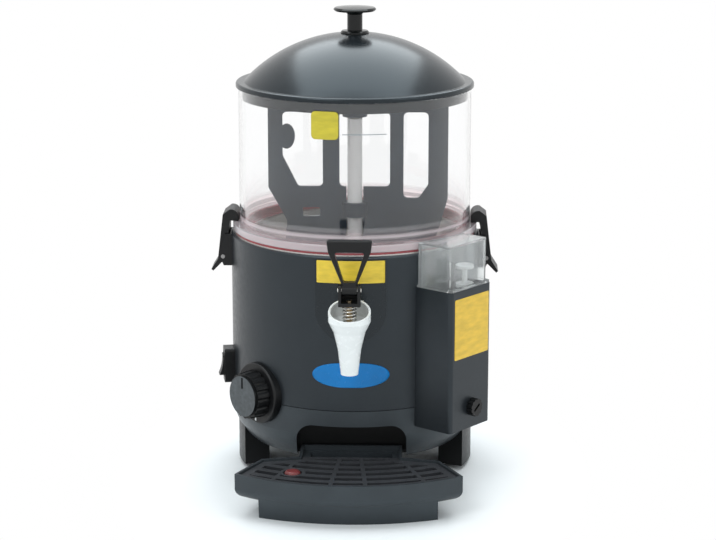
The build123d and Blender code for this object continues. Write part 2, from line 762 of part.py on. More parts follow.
# Union nut that clamps the tap to the drum
NUT_BACK = BODY_R + ESCUTCHEON_T
NUT_T = 9.0
with BuildPart() as tap_nut:
    with BuildSketch(MERIDIAN.offset(NUT_BACK)):
        with Locations((0, TAP_Z)):
            Circle(TAP_NUT_R)
            Circle(TAP_BARREL_R, mode=Mode.SUBTRACT)
            with PolarLocations(TAP_NUT_R + 0.6, 16):
                Circle(1.6, mode=Mode.SUBTRACT)
    extrude(amount=NUT_T)
save(tap_nut, "tap_nut")

# Silicone ring that seals the barrel in the pan
with BuildPart() as tap_seal:
    with BuildSketch(MERIDIAN.offset(BATH_R + 1)):
        with Locations((0, TAP_Z)):
            Circle(TAP_BARREL_R + 5)
            Circle(TAP_BARREL_R, mode=Mode.SUBTRACT)
    extrude(amount=3)
save(tap_seal, "tap_seal")

# Bonnet: a bridge behind the spring with two ears for the lever
BONNET_HALF = 10.0
BONNET_BACK = SPOUT_Y + 14.0
EAR_INNER = LEVER_HUB_HALF + 0.5
BONNET_FLOOR = 3.0
with BuildPart() as tap_bonnet:
    with BuildSketch(Plane.XY.offset(TAP_Z + TAP_BARREL_R + 0.2)):
        with Locations((0, BONNET_BACK - 2)):
            Rectangle(2 * BONNET_HALF, 4)
    extrude(amount=LEVER_PIVOT_Z - TAP_Z - TAP_BARREL_R)
    with BuildSketch(Plane.YZ.offset(-BONNET_HALF)):
        with BuildLine():
            Polyline(
                (BONNET_BACK, SPRING_HIGH),
                (SPOUT_Y - 9, SPRING_HIGH),
                (SPOUT_Y - 6, LEVER_PIVOT_Z),
            )
            ThreePointArc(
                (SPOUT_Y - 6, LEVER_PIVOT_Z),
                (SPOUT_Y, LEVER_PIVOT_Z + 6),
                (SPOUT_Y + 6, LEVER_PIVOT_Z),
            )
            Polyline(
                (SPOUT_Y + 6, LEVER_PIVOT_Z),
                (BONNET_BACK, LEVER_PIVOT_Z - 5),
                (BONNET_BACK, SPRING_HIGH),
            )
        make_face()
        with Locations((SPOUT_Y, LEVER_PIVOT_Z)):
            Circle(LEVER_PIN_R, mode=Mode.SUBTRACT)
    extrude(amount=2 * BONNET_HALF)
    with BuildSketch(Plane.XY.offset(SPRING_HIGH + BONNET_FLOOR)):
        with Locations((0, SPOUT_Y - 9)):
            Rectangle(2 * EAR_INNER, 38)
    extrude(amount=LEVER_TOP, mode=Mode.SUBTRACT)
    with BuildSketch(spout_level(SPRING_HIGH)):
        Circle(PLUNGER_R + GAP)
    extrude(amount=BONNET_FLOOR, mode=Mode.SUBTRACT)
save(tap_bonnet, "tap_bonnet")

# Plunger with its rubber face and the collar under the spring
with BuildPart() as tap_plunger:
    with BuildSketch(SPOUT_MERIDIAN):
        with BuildLine():
            Polyline(
                (0, SEAT_Z + 0.3),
                (ORIFICE_R + 3, SEAT_Z + 1.6),
                (ORIFICE_R + 3, SPRING_LOW - SPRING_WIRE / 2 - 2.2),
                (ORIFICE_R + 3, SPRING_LOW - SPRING_WIRE / 2 - 0.3),
                (PLUNGER_R, SPRING_LOW - SPRING_WIRE / 2 - 0.3),
                (PLUNGER_R, PLUNGER_TOP),
                (0, PLUNGER_TOP),
                close=True,
            )
        make_face()
    revolve(axis=SPOUT_AXIS)
save(tap_plunger, "tap_plunger")

# Lever: a stirrup handle on a round hub
LEVER_NECK_Z = LEVER_PIVOT_Z + 5.5
LEVER_HUB_R = 5.2
LEVER_SIDE = 5.5
LEVER_FLARE = 1.5
LEVER_ROUND = 2.2
LEVER_FACE = Plane(origin=(0, SPOUT_Y + LEVER_T / 2, 0), x_dir=(1, 0, 0), z_dir=(0, -1, 0))
with BuildPart() as tap_lever:
    with BuildSketch(LEVER_FACE):
        with BuildLine():
            FilletPolyline(
                (-LEVER_HUB_HALF, LEVER_NECK_Z),
                (-LEVER_HALF_LOW, LEVER_LOW),
                (-LEVER_HALF_TOP + LEVER_FLARE, LEVER_TOP - LEVER_BAR),
                (-LEVER_HALF_TOP, LEVER_TOP),
                (LEVER_HALF_TOP, LEVER_TOP),
                (LEVER_HALF_TOP - LEVER_FLARE, LEVER_TOP - LEVER_BAR),
                (LEVER_HALF_LOW, LEVER_LOW),
                (LEVER_HUB_HALF, LEVER_NECK_Z),
                radius=LEVER_ROUND,
            )
            Line((LEVER_HUB_HALF, LEVER_NECK_Z), (-LEVER_HUB_HALF, LEVER_NECK_Z))
        make_face()
        with BuildLine():
            FilletPolyline(
                (-LEVER_HALF_TOP + LEVER_FLARE + LEVER_SIDE, LEVER_TOP - LEVER_BAR),
                (LEVER_HALF_TOP - LEVER_FLARE - LEVER_SIDE, LEVER_TOP - LEVER_BAR),
                (LEVER_HALF_LOW - LEVER_SIDE / 2, LEVER_LOW),
                (-LEVER_HALF_LOW + LEVER_SIDE / 2, LEVER_LOW),
                radius=LEVER_ROUND,
                close=True,
            )
        make_face(mode=Mode.SUBTRACT)
    extrude(amount=LEVER_T)
    fillet(tap_lever.edges().filter_by(Axis.X).group_by(Axis.Z)[-1], radius=LEVER_ROUND)
    with BuildSketch(Plane.YZ.offset(-LEVER_HUB_HALF)):
        with Locations((SPOUT_Y, LEVER_PIVOT_Z)):
            Circle(LEVER_HUB_R)
        with Locations((SPOUT_Y, (LEVER_PIVOT_Z + LEVER_NECK_Z) / 2)):
            Rectangle(LEVER_T, LEVER_NECK_Z - LEVER_PIVOT_Z)
    extrude(amount=2 * LEVER_HUB_HALF)
    with BuildSketch(Plane.YZ.offset(-LEVER_HUB_HALF)):
        with Locations((SPOUT_Y, LEVER_PIVOT_Z)):
            Circle(LEVER_PIN_R + RUNNING)
    extrude(amount=2 * LEVER_HUB_HALF, mode=Mode.SUBTRACT)
save(tap_lever, "tap_lever")

# Pin of the lever
with BuildPart() as lever_pin:
    with BuildSketch(Plane.YZ.offset(-BONNET_HALF - 1)):
        with Locations((SPOUT_Y, LEVER_PIVOT_Z)):
            Circle(LEVER_PIN_R)
    extrude(amount=2 * BONNET_HALF + 2)
save(lever_pin, "lever_pin")


def coil_point(turn):
    """Point and direction of the spring's centre line after a number of turns."""
    angle = 2 * pi * turn
    rise = (SPRING_HIGH - SPRING_LOW - SPRING_WIRE) / SPRING_TURNS
    point = Vector(SPRING_R * cos(angle), SPOUT_Y + SPRING_R * sin(angle), SPRING_LOW + rise * turn)
    heading = Vector(-2 * pi * SPRING_R * sin(angle), 2 * pi * SPRING_R * cos(angle), rise)
    return point, heading.normalized()


def biarc(start, end):
    """Two tangent arcs from one point of the coil to the next."""
    (p0, t0), (p1, t1) = start, end
    chord = p1 - p0
    along = chord.dot(t0 + t1)
    bend = 2 * (1 - t0.dot(t1))
    reach = (-along + sqrt(along ** 2 + bend * chord.dot(chord))) / bend
    q0 = p0 + t0 * reach
    q1 = p1 - t1 * reach
    middle = (q0 + q1) * 0.5
    TangentArc(p0, middle, tangent=t0)
    TangentArc(middle, p1, tangent=q1 - q0)


# Spring of the tap: round wire on a climbing line of quarter turns
QUARTERS = 4 * SPRING_TURNS
with BuildPart() as tap_spring:
    with BuildLine() as coil:
        for quarter in range(QUARTERS):
            biarc(coil_point(quarter / 4), coil_point((quarter + 1) / 4))
    with BuildSketch(Plane(origin=coil_point(0)[0], z_dir=coil_point(0)[1])):
        Circle(SPRING_WIRE / 2)
    sweep(path=coil.wires()[0])
save(tap_spring, "tap_spring")
COIL_STEPS = 24
coil_points = [coil_point(i / COIL_STEPS)[0] for i in range(COIL_STEPS * SPRING_TURNS + 1)]
coil_gap = min(
    (p - q).length - SPRING_WIRE
    for i, p in enumerate(coil_points)
    for q in coil_points[i + COIL_STEPS // 2:]
)
print(f"tap spring: least gap to itself {coil_gap:.2f} mm")


def box_level(z):
    """Horizontal plane at height z, turned so that local -Y points out through the water box."""
    a = radians(BOX_AZIMUTH)
    return Plane(origin=(0, AXIS_Y, z), x_dir=(cos(a), sin(a), 0), z_dir=(0, 0, 1))


def box_block(width, face_r, low, high, rounding):
    """Block behind the outer face of the water box, reaching into the drum."""
    inner_r = BODY_R - 25
    with BuildSketch(box_level(low)) as footprint:
        with Locations((BOX_ASIDE, -(inner_r + face_r) / 2)):
            RectangleRounded(width, face_r - inner_r, rounding)
    extrude(footprint.sketch, amount=high - low)


# Water box: an open tank on the side of the drum
BOX_FLOOR = 3.0
PLUG_Z = 83.0
PLUG_ASIDE = -12.0
PLUG_R = 8.5
PLUG_BORE = 4.0
with BuildPart() as box_cavity:
    box_block(BOX_WIDTH - 2 * BOX_WALL, BOX_FACE_R - BOX_WALL, BOX_BOTTOM + BOX_FLOOR, COVER_TOP, 2.0)
    cylinder_cut(BODY_R + GAP + BOX_WALL)
with BuildPart() as water_box:
    box_block(BOX_WIDTH, BOX_FACE_R, BOX_BOTTOM, BOX_TOP, 4.0)
    cylinder_cut(BODY_R + GAP / 2)
    add(box_cavity.part, mode=Mode.SUBTRACT)
    with BuildSketch(side(BOX_AZIMUTH, BODY_R - 10, PIPE_Z)):
        Circle(PIPE_R)
    extrude(amount=20, mode=Mode.SUBTRACT)
    with BuildSketch(side(BOX_AZIMUTH, BOX_FACE_R - 10, PLUG_Z)):
        with Locations((PLUG_ASIDE, 0)):
            Circle(PLUG_BORE)
    extrude(amount=20, mode=Mode.SUBTRACT)
save(water_box, "water_box")

# Pipe that fills the water bath from the box
with BuildPart() as water_pipe:
    with BuildSketch(side(BOX_AZIMUTH, BATH_R, PIPE_Z)):
        Circle(PIPE_R)
        Circle(PIPE_BORE, mode=Mode.SUBTRACT)
    extrude(amount=BODY_R + BOX_WALL + GAP - BATH_R)
    cylinder_cut(BATH_R)
save(water_pipe, "water_pipe")

# Clear cover over the water box, open below
with BuildPart() as cover_cavity:
    cover_inside = COVER_WIDTH - 2 * COVER_WALL
    box_block(cover_inside, COVER_FACE_R - COVER_WALL, BOX_BOTTOM, COVER_TOP - COVER_WALL, 1.5)
    cylinder_cut(BODY_R + 1.0 + COVER_WALL)
with BuildPart() as box_cover:
    box_block(COVER_WIDTH, COVER_FACE_R, BOX_TOP + GAP, COVER_TOP, 3.0)
    box_block(BOX_WIDTH - 0.6, BOX_FACE_R - 0.3, BOX_TOP + GAP, BOX_TOP + GAP + 2.0, 4.0)
    cylinder_cut(BODY_R + 1.0)
    add(cover_cavity.part, mode=Mode.SUBTRACT)
save(box_cover, "box_cover")

# White level float: a spool on a thin rod with a bulb in the water
FLOAT_OUT = 134.2
FLOAT_ASIDE = -1.3
FLOAT_R = 8.5
FLOAT_TOP = 216.0
FLOAT_SPOOL = 194.0
FLOAT_BULB = 92.0
with BuildPart() as level_float:
    for low, radius, height in (
        (FLOAT_BULB, FLOAT_R, 30.0),
        (FLOAT_BULB, 2.5, FLOAT_TOP - FLOAT_BULB),
        (FLOAT_SPOOL, FLOAT_R, 4.5),
        (FLOAT_TOP - 3.5, FLOAT_R, 3.5),
    ):
        with BuildSketch(box_level(low)):
            with Locations((FLOAT_ASIDE, -FLOAT_OUT)):
                Circle(radius)
        extrude(amount=height)
    fillet(level_float.edges().filter_by(lambda edge: at_radius(edge, FLOAT_R)), radius=0.8)
save(level_float, "level_float")

# Drain plug of the water box: ribbed head and a short stub
PLUG_HEAD = 6.0
PLUG_RIBS = 12


def plug_plane(radius):
    """Plane across the drain plug's axis at a distance from the bowl's axis."""
    return side(BOX_AZIMUTH, radius, PLUG_Z) * Pos(PLUG_ASIDE, 0, 0)


with BuildPart() as drain_plug:
    with BuildSketch(plug_plane(BOX_FACE_R + GAP)):
        Circle(PLUG_R)
        with PolarLocations(PLUG_R + 0.6, PLUG_RIBS):
            Circle(1.4, mode=Mode.SUBTRACT)
    extrude(amount=PLUG_HEAD)
    with BuildSketch(plug_plane(BOX_FACE_R - BOX_WALL - 4)):
        Circle(PLUG_BORE - RUNNING)
    extrude(amount=BOX_WALL + 5)
    with BuildSketch(plug_plane(BOX_FACE_R + 4)):
        SlotOverall(10.0, 2.4, rotation=35)
    extrude(amount=4, mode=Mode.SUBTRACT)
save(drain_plug, "drain_plug")

# Thermostat: body inside the drum, bezel outside, turning knob
DIAL_FACE = BODY_R + 5.0
KNOB_FACE_R = 141.0
KNOB_R = 23.0
SPINDLE_R = 3.0
with BuildPart() as dial_bezel:
    with BuildSketch(side(DIAL_AZIMUTH, BODY_R - 25, DIAL_Z)):
        Circle(DIAL_R)
    extrude(amount=DIAL_FACE - BODY_R + 25)
    cylinder_cut(BODY_R)
    fillet(dial_bezel.edges().filter_by(lambda edge: at_radius(edge, DIAL_R)), radius=2.0)
    with BuildSketch(side(DIAL_AZIMUTH, BODY_R - 30, DIAL_Z)):
        Circle(DIAL_HOLE_R)
    extrude(amount=60, mode=Mode.SUBTRACT)
save(dial_bezel, "dial_bezel")

with BuildPart() as thermostat_body:
    with BuildSketch(side(DIAL_AZIMUTH, BODY_R - 42, DIAL_Z)):
        RectangleRounded(34, 30, 4)
    extrude(amount=28)
    with BuildSketch(side(DIAL_AZIMUTH, BODY_R - 16, DIAL_Z)):
        Circle(DIAL_HOLE_R)
    extrude(amount=BODY_WALL + 12)
    with BuildSketch(side(DIAL_AZIMUTH, BODY_R - 40, DIAL_Z)):
        Circle(SPINDLE_R + RUNNING)
    extrude(amount=60, mode=Mode.SUBTRACT)
save(thermostat_body, "thermostat_body")

GRIP_COUNT = 18
with BuildPart() as thermostat_knob:
    with BuildSketch(side(DIAL_AZIMUTH, DIAL_FACE + GAP, DIAL_Z)):
        Circle(KNOB_R)
        with PolarLocations(KNOB_R + 0.9, GRIP_COUNT):
            Circle(2.2, mode=Mode.SUBTRACT)
    extrude(amount=KNOB_FACE_R - DIAL_FACE - 3.0, taper=4)
    with BuildSketch(side(DIAL_AZIMUTH, KNOB_FACE_R - 3.2, DIAL_Z)):
        Circle(KNOB_R - 3.5)
    extrude(amount=3.2)
    with BuildSketch(side(DIAL_AZIMUTH, KNOB_FACE_R - 1.0, DIAL_Z)):
        with Locations((0, KNOB_R - 10)):
            Rectangle(2.4, 11)
    extrude(amount=3.0, mode=Mode.SUBTRACT)
    with BuildSketch(side(DIAL_AZIMUTH, BODY_R - 26, DIAL_Z)):
        Circle(SPINDLE_R)
    extrude(amount=40)
save(thermostat_knob, "thermostat_knob")

# Mains switch: bezel through the drum and a rocker on a cross pin
SWITCH_FACE = BODY_R + 9.5
SWITCH_DEPTH = 20.0
SWITCH_NECK_W = SWITCH_W - 5.4
SWITCH_NECK_H = SWITCH_H - 7.4
ROCKER_W = 11.0
ROCKER_HALF = 10.0
ROCKER_ROOM_W = ROCKER_W + 1.0
ROCKER_ROOM_H = 2 * ROCKER_HALF + 4.6
ROCKER_PIVOT = BODY_R - 2.5
ROCKER_FACE = BODY_R + 14.5
ROCKER_LOW_FACE = ROCKER_FACE - 3.5
ROCKER_DISH = ROCKER_FACE - 3.4
ROCKER_HEEL = ROCKER_PIVOT - 4.0
ROCKER_HEEL_HALF = 5.0
ROCKER_SHOULDER = SWITCH_FACE - 2.0
ROCKER_PIN_R = 1.5
ROCKER_PIN_FIT = 0.08
ROCKER_PIN_HALF = ROCKER_ROOM_W / 2 + 1.0
SWITCH_ANGLE = radians(SWITCH_AZIMUTH)
SWITCH_TANGENT = Vector(cos(SWITCH_ANGLE), sin(SWITCH_ANGLE), 0)
SWITCH_OUTWARD = Vector(sin(SWITCH_ANGLE), -cos(SWITCH_ANGLE), 0)
SWITCH_SIDE = Plane(
    origin=side(SWITCH_AZIMUTH, 0, SWITCH_Z).origin,
    x_dir=SWITCH_OUTWARD,
    z_dir=SWITCH_TANGENT,
)
with BuildPart() as switch_bezel:
    with BuildSketch(side(SWITCH_AZIMUTH, BODY_R - SWITCH_DEPTH, SWITCH_Z)):
        RectangleRounded(SWITCH_W, SWITCH_H, 3)
    extrude(amount=SWITCH_FACE - BODY_R + SWITCH_DEPTH)
    cylinder_cut(BODY_R)
    with BuildSketch(side(SWITCH_AZIMUTH, BODY_R - SWITCH_DEPTH, SWITCH_Z)):
        Rectangle(SWITCH_NECK_W, SWITCH_NECK_H)
    extrude(amount=SWITCH_FACE - BODY_R + SWITCH_DEPTH)
    with BuildSketch(side(SWITCH_AZIMUTH, BODY_R - SWITCH_DEPTH, SWITCH_Z)):
        Rectangle(ROCKER_ROOM_W, ROCKER_ROOM_H)
    extrude(amount=2 * SWITCH_DEPTH, mode=Mode.SUBTRACT)
    with BuildSketch(SWITCH_SIDE):
        with Locations((ROCKER_PIVOT, 0)):
            Circle(ROCKER_PIN_R + ROCKER_PIN_FIT)
    extrude(amount=SWITCH_W, both=True, mode=Mode.SUBTRACT)
save(switch_bezel, "switch_bezel")

with BuildPart() as switch_rocker:
    with BuildSketch(SWITCH_SIDE):
        with BuildLine():
            Polyline(
                (ROCKER_HEEL, -ROCKER_HEEL_HALF),
                (ROCKER_SHOULDER, -ROCKER_HALF),
                (ROCKER_LOW_FACE, -ROCKER_HALF),
            )
            ThreePointArc(
                (ROCKER_LOW_FACE, -ROCKER_HALF),
                (ROCKER_DISH, -ROCKER_HALF / 5),
                (ROCKER_FACE, ROCKER_HALF),
            )
            Polyline(
                (ROCKER_FACE, ROCKER_HALF),
                (ROCKER_SHOULDER, ROCKER_HALF),
                (ROCKER_HEEL, ROCKER_HEEL_HALF),
                (ROCKER_HEEL, -ROCKER_HEEL_HALF),
            )
        make_face()
    extrude(amount=ROCKER_W / 2, both=True)
    with BuildSketch(SWITCH_SIDE):
        with Locations((ROCKER_PIVOT, 0)):
            Circle(ROCKER_PIN_R)
    extrude(amount=ROCKER_PIN_HALF, both=True)
save(switch_rocker, "switch_rocker")

# Side latches: a bracket on the drum, a hinge pin and a hooked lever with a flared tail
HOOK_Z = BOWL_BASE + FLANGE_H + GAP
HOOK_TIP_R = BOWL_R + 0.6
HOOK_INNER_R = 120.4
HOOK_OUTER_R = 127.6
LATCH_WAIST_R = 132.8
EAR_GAP = 0.4
EAR_T = 2.0
EAR_ROOT_R = 115.0
EAR_NECK_R = 126.0
EAR_R = 131.9
BRACKET_T = 1.0
BRACKET_LOW = 197.0
BRACKET_HIGH = 228.0


def latch_plane(hand, half_width):
    """Upright plane across a latch: local X points away from the drum, local Y up."""
    return Plane(origin=(0, AXIS_Y + hand * half_width, 0), x_dir=(hand, 0, 0), z_dir=(0, -hand, 0))


def latch_lever(hand):
    """Hooked lever of one side."""
    with BuildPart() as lever:
        with BuildSketch(latch_plane(hand, LATCH_WIDTH / 2)):
            with BuildLine():
                hook = ThreePointArc(
                    (HOOK_TIP_R, HOOK_Z + 5.5),
                    (HOOK_TIP_R + 3.1, HOOK_Z + 9.8),
                    (HOOK_INNER_R + 0.6, HOOK_Z + 11.0),
                )
                back = Polyline(
                    hook @ 1,
                    (HOOK_OUTER_R, HOOK_Z + 6.0),
                    (LATCH_WAIST_R, LATCH_PIVOT_Z - 3.0),
                    (LATCH_TAIL_R, LATCH_TAIL_Z + 1.5),
                    (LATCH_TAIL_R - 1.9, LATCH_TAIL_Z),
                    (LATCH_WAIST_R - 3.6, LATCH_PIVOT_Z - 6.5),
                    (HOOK_INNER_R + 2.8, LATCH_PIVOT_Z - 3.5),
                    (HOOK_INNER_R + 1.5, HOOK_Z - 6.0),
                    (HOOK_INNER_R, HOOK_Z),
                    (HOOK_TIP_R, HOOK_Z),
                )
                Line(back @ 1, hook @ 0)
            make_face()
            with Locations((LATCH_PIVOT_R, LATCH_PIVOT_Z)):
                Circle(LATCH_PIN_R + RUNNING, mode=Mode.SUBTRACT)
        extrude(amount=LATCH_WIDTH)
        fillet(lever.edges().filter_by(Axis.Y).sort_by(Axis.Z)[-2:], radius=1.0)
    return lever


def latch_bracket(hand):
    """Bracket of one side: a plate seated on the drum with two ears."""
    outer = LATCH_WIDTH / 2 + EAR_GAP + EAR_T
    with BuildPart() as bracket:
        with BuildSketch(side(hand * 90, BODY_R - 10, (BRACKET_LOW + BRACKET_HIGH) / 2)):
            RectangleRounded(2 * outer, BRACKET_HIGH - BRACKET_LOW, 2)
        extrude(amount=10 + BRACKET_T)
        for edge in (outer, -outer + EAR_T):
            with BuildSketch(latch_plane(hand, edge)):
                with BuildLine():
                    ear_nose = ThreePointArc(
                        (EAR_R - 0.9, LATCH_PIVOT_Z + 3),
                        (EAR_R, LATCH_PIVOT_Z - 1),
                        (EAR_R - 2.9, LATCH_PIVOT_Z - 4.5),
                    )
                    Polyline(
                        ear_nose @ 1,
                        (EAR_R - 4.9, BRACKET_LOW),
                        (EAR_ROOT_R, BRACKET_LOW),
                        (EAR_ROOT_R, BRACKET_HIGH),
                        (EAR_NECK_R, BRACKET_HIGH),
                        ear_nose @ 0,
                    )
                make_face()
                with Locations((LATCH_PIVOT_R, LATCH_PIVOT_Z)):
                    Circle(LATCH_PIN_R, mode=Mode.SUBTRACT)
            extrude(amount=EAR_T)
        cylinder_cut(BODY_R)
    return bracket


def latch_pin(hand):
    """Hinge pin of one side."""
    reach = LATCH_WIDTH / 2 + EAR_GAP + EAR_T + 0.8
    with BuildPart() as pin:
        with BuildSketch(latch_plane(hand, reach)):
            with Locations((LATCH_PIVOT_R, LATCH_PIVOT_Z)):
                Circle(LATCH_PIN_R)
        extrude(amount=2 * reach)
    return pin


for hand, word in ((-1, "left"), (1, "right")):
    save(latch_lever(hand), f"latch_{word}")
    save(latch_bracket(hand), f"latch_bracket_{word}")
    save(latch_pin(hand), f"latch_pin_{word}")


def tray_outline(z, inset):
    """Plan of the drip tray, drawn in all round: curved front, tapered sides, rear tongue."""
    with BuildSketch(level(z)) as plan:
        with BuildLine():
            ThreePointArc((-TRAY_HALF, TRAY_SIDE_Y), (0, -TRAY_FRONT_R), (TRAY_HALF, TRAY_SIDE_Y))
            Polyline(
                (TRAY_HALF, TRAY_SIDE_Y),
                (TRAY_REAR_HALF, TRAY_REAR_Y),
                (TONGUE_HALF, TRAY_REAR_Y + 8),
                (TONGUE_HALF, TONGUE_Y),
                (-TONGUE_HALF, TONGUE_Y),
                (-TONGUE_HALF, TRAY_REAR_Y + 8),
                (-TRAY_REAR_HALF, TRAY_REAR_Y),
                (-TRAY_HALF, TRAY_SIDE_Y),
            )
        make_face()
        if inset:
            offset(amount=-inset)
    return plan.sketch


def plinth_outline(z, inset, front=PLINTH_FRONT, side_y=PLINTH_SIDE_Y):
    """Plan of the tray's plinth, drawn in all round."""
    with BuildSketch(level(z)) as plan:
        with BuildLine():
            ThreePointArc((-PLINTH_HALF, side_y), (0, -front), (PLINTH_HALF, side_y))
            Polyline(
                (PLINTH_HALF, side_y),
                (PLINTH_REAR_HALF, TRAY_REAR_Y),
                (-PLINTH_REAR_HALF, TRAY_REAR_Y),
                (-PLINTH_HALF, side_y),
            )
        make_face()
        if inset:
            offset(amount=-inset)
    return plan.sketch


def tray_front(x):
    """Where the tray's curved front is at a distance to one side, in plan."""
    bow = TRAY_FRONT_R + TRAY_SIDE_Y
    radius = (TRAY_HALF ** 2 + bow ** 2) / (2 * bow)
    return radius - TRAY_FRONT_R - sqrt(radius ** 2 - x ** 2)


# Drip tray: a wide basin whose front face runs down into a narrower plinth
TRAY_ROUND = 9.0
TRAY_SKIN = 0.1
LEDGE_Z = TRAY_TOP - GRATE_T - 2.0
LEDGE = 4.0
TRAY_FLOOR = 2.5
with BuildPart() as drip_tray:
    extrude(tray_outline(TRAY_STEP, 0), amount=TRAY_TOP - TRAY_STEP)
    low_edges = drip_tray.edges().group_by(Axis.Z)[0].sort_by(Axis.Y)[:3]
    fillet(low_edges, radius=TRAY_ROUND)
    flush_front = TRAY_FRONT_R - TRAY_SKIN
    flush_side = tray_front(PLINTH_HALF) + TRAY_SKIN
    loft([plinth_outline(0, 0), plinth_outline(TRAY_STEP + TRAY_ROUND, 0, flush_front, flush_side)])
    extrude(tray_outline(LEDGE_Z, TRAY_WALL), amount=TRAY_TOP, mode=Mode.SUBTRACT)
    basin = tray_outline(TRAY_STEP + TRAY_FLOOR, TRAY_WALL + LEDGE + 3.0)
    extrude(basin, amount=TRAY_TOP, mode=Mode.SUBTRACT)
    extrude(plinth_outline(TRAY_FLOOR, TRAY_WALL), amount=TRAY_TOP, mode=Mode.SUBTRACT)
save(drip_tray, "drip_tray")

# Grate: slats that follow the curved front, split by ribs
SLAT_PITCH = 14.0
SLOT_DEPTH = 7.0
SLOT_ROWS = 6
FIRST_ROW = 205.0
RIB_AZIMUTHS = (-36, -20, -4.5, 4.5, 20, 36)
RIB_W = 4.0
TRAY_FLOAT_X = -52.0
TRAY_FLOAT_Y = -169.0
TRAY_FLOAT_R = 7.4
GRATE_REAR = BODY_R + 4.0


def grate_end(distance):
    """Cut the piece being made straight across behind a distance from the axis."""
    with BuildSketch(level(LEDGE_Z)) as rear:
        with Locations((0, -distance / 2)):
            Rectangle(2 * TRAY_HALF, distance)
    extrude(rear.sketch, amount=GRATE_T, mode=Mode.SUBTRACT)


with BuildPart() as slot_field:
    for row in range(SLOT_ROWS):
        outer_r = FIRST_ROW - row * SLAT_PITCH
        for left, right in zip(RIB_AZIMUTHS, RIB_AZIMUTHS[1:]):
            span = right - left - degrees(RIB_W / outer_r)
            inner_r = outer_r - SLOT_DEPTH
            slot = sector(level(LEDGE_Z), inner_r, outer_r, (left + right) / 2, span)
            extrude(slot, amount=GRATE_T)
    extrude(tray_outline(LEDGE_Z, TRAY_WALL + LEDGE + 4.0), amount=GRATE_T, mode=Mode.INTERSECT)
    grate_end(GRATE_REAR + 5.0)
with BuildPart() as drip_grate:
    extrude(tray_outline(LEDGE_Z, TRAY_WALL + 0.5), amount=GRATE_T)
    add(slot_field.part, mode=Mode.SUBTRACT)
    with BuildSketch(level(LEDGE_Z)):
        with Locations((TRAY_FLOAT_X, TRAY_FLOAT_Y)):
            Circle(TRAY_FLOAT_R + 4.5)
    extrude(amount=GRATE_T)
    with BuildSketch(level(LEDGE_Z)):
        with Locations((TRAY_FLOAT_X, TRAY_FLOAT_Y)):
            Circle(TRAY_FLOAT_R + 1.2)
    extrude(amount=GRATE_T, mode=Mode.SUBTRACT)
    grate_end(GRATE_REAR)
save(drip_grate, "drip_grate")

# Red float that shows when the tray is full
with BuildPart() as tray_float:
    with BuildSketch(level(TRAY_FLOOR + GAP)):
        with Locations((TRAY_FLOAT_X, TRAY_FLOAT_Y)):
            Circle(TRAY_FLOAT_R)
    extrude(amount=TRAY_TOP - 0.5 - TRAY_FLOOR)
    fillet(tray_float.edges().group_by(Axis.Z)[-1], radius=3.0)
save(tray_float, "tray_float")

# Service panel at the rear, curved to the drum, with vent slots
PANEL_HALF = 58.0
PANEL_LOW = 96.0
PANEL_HIGH = 214.0
PANEL_T = 1.4
VENT_COUNT = 8
with BuildPart() as rear_panel:
    with BuildSketch(MERIDIAN):
        ring(BODY_R, BODY_R + PANEL_T, PANEL_LOW, PANEL_HIGH)
    revolve(axis=AXIS)
    with BuildSketch(side(180, BODY_R - 40, (PANEL_LOW + PANEL_HIGH) / 2)):
        RectangleRounded(2 * PANEL_HALF, PANEL_HIGH - PANEL_LOW, 8)
        with Locations((0, -18)):
            with GridLocations(10, 0, VENT_COUNT, 1):
                SlotOverall(44, 4.5, rotation=90, mode=Mode.SUBTRACT)
    extrude(amount=60, mode=Mode.INTERSECT)
save(rear_panel, "rear_panel")

# Cable inlet: a bushing through the skirt
GLAND_Z = 58.0
with BuildPart() as cable_inlet:
    with BuildSketch(side(180, SKIRT_R, GLAND_Z)):
        RegularPolygon(11, 6)
        Circle(4.2, mode=Mode.SUBTRACT)
    extrude(amount=GLAND_R - SKIRT_R)
    cylinder_cut(SKIRT_R + 0.05)
save(cable_inlet, "cable_inlet")
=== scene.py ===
"""Looks of the hot chocolate dispenser: finishes, screws, stickers, studio and camera."""
import math
from itertools import product

import bmesh
import bpy
from mathutils import Matrix, Vector


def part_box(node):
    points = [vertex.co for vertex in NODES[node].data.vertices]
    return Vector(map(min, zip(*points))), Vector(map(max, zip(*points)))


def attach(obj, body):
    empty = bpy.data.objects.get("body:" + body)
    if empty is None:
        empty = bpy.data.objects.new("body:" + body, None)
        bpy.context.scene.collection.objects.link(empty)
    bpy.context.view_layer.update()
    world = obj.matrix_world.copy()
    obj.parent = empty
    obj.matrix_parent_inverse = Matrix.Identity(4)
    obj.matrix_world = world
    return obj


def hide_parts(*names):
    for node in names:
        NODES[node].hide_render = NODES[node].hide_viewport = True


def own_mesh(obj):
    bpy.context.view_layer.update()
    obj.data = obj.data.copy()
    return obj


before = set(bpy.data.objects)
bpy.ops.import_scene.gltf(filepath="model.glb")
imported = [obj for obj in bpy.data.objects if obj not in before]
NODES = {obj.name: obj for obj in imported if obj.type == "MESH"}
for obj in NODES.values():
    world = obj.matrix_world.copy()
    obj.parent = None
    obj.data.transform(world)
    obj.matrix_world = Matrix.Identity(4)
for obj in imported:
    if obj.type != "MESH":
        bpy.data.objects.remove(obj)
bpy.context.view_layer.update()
MM = 0.001

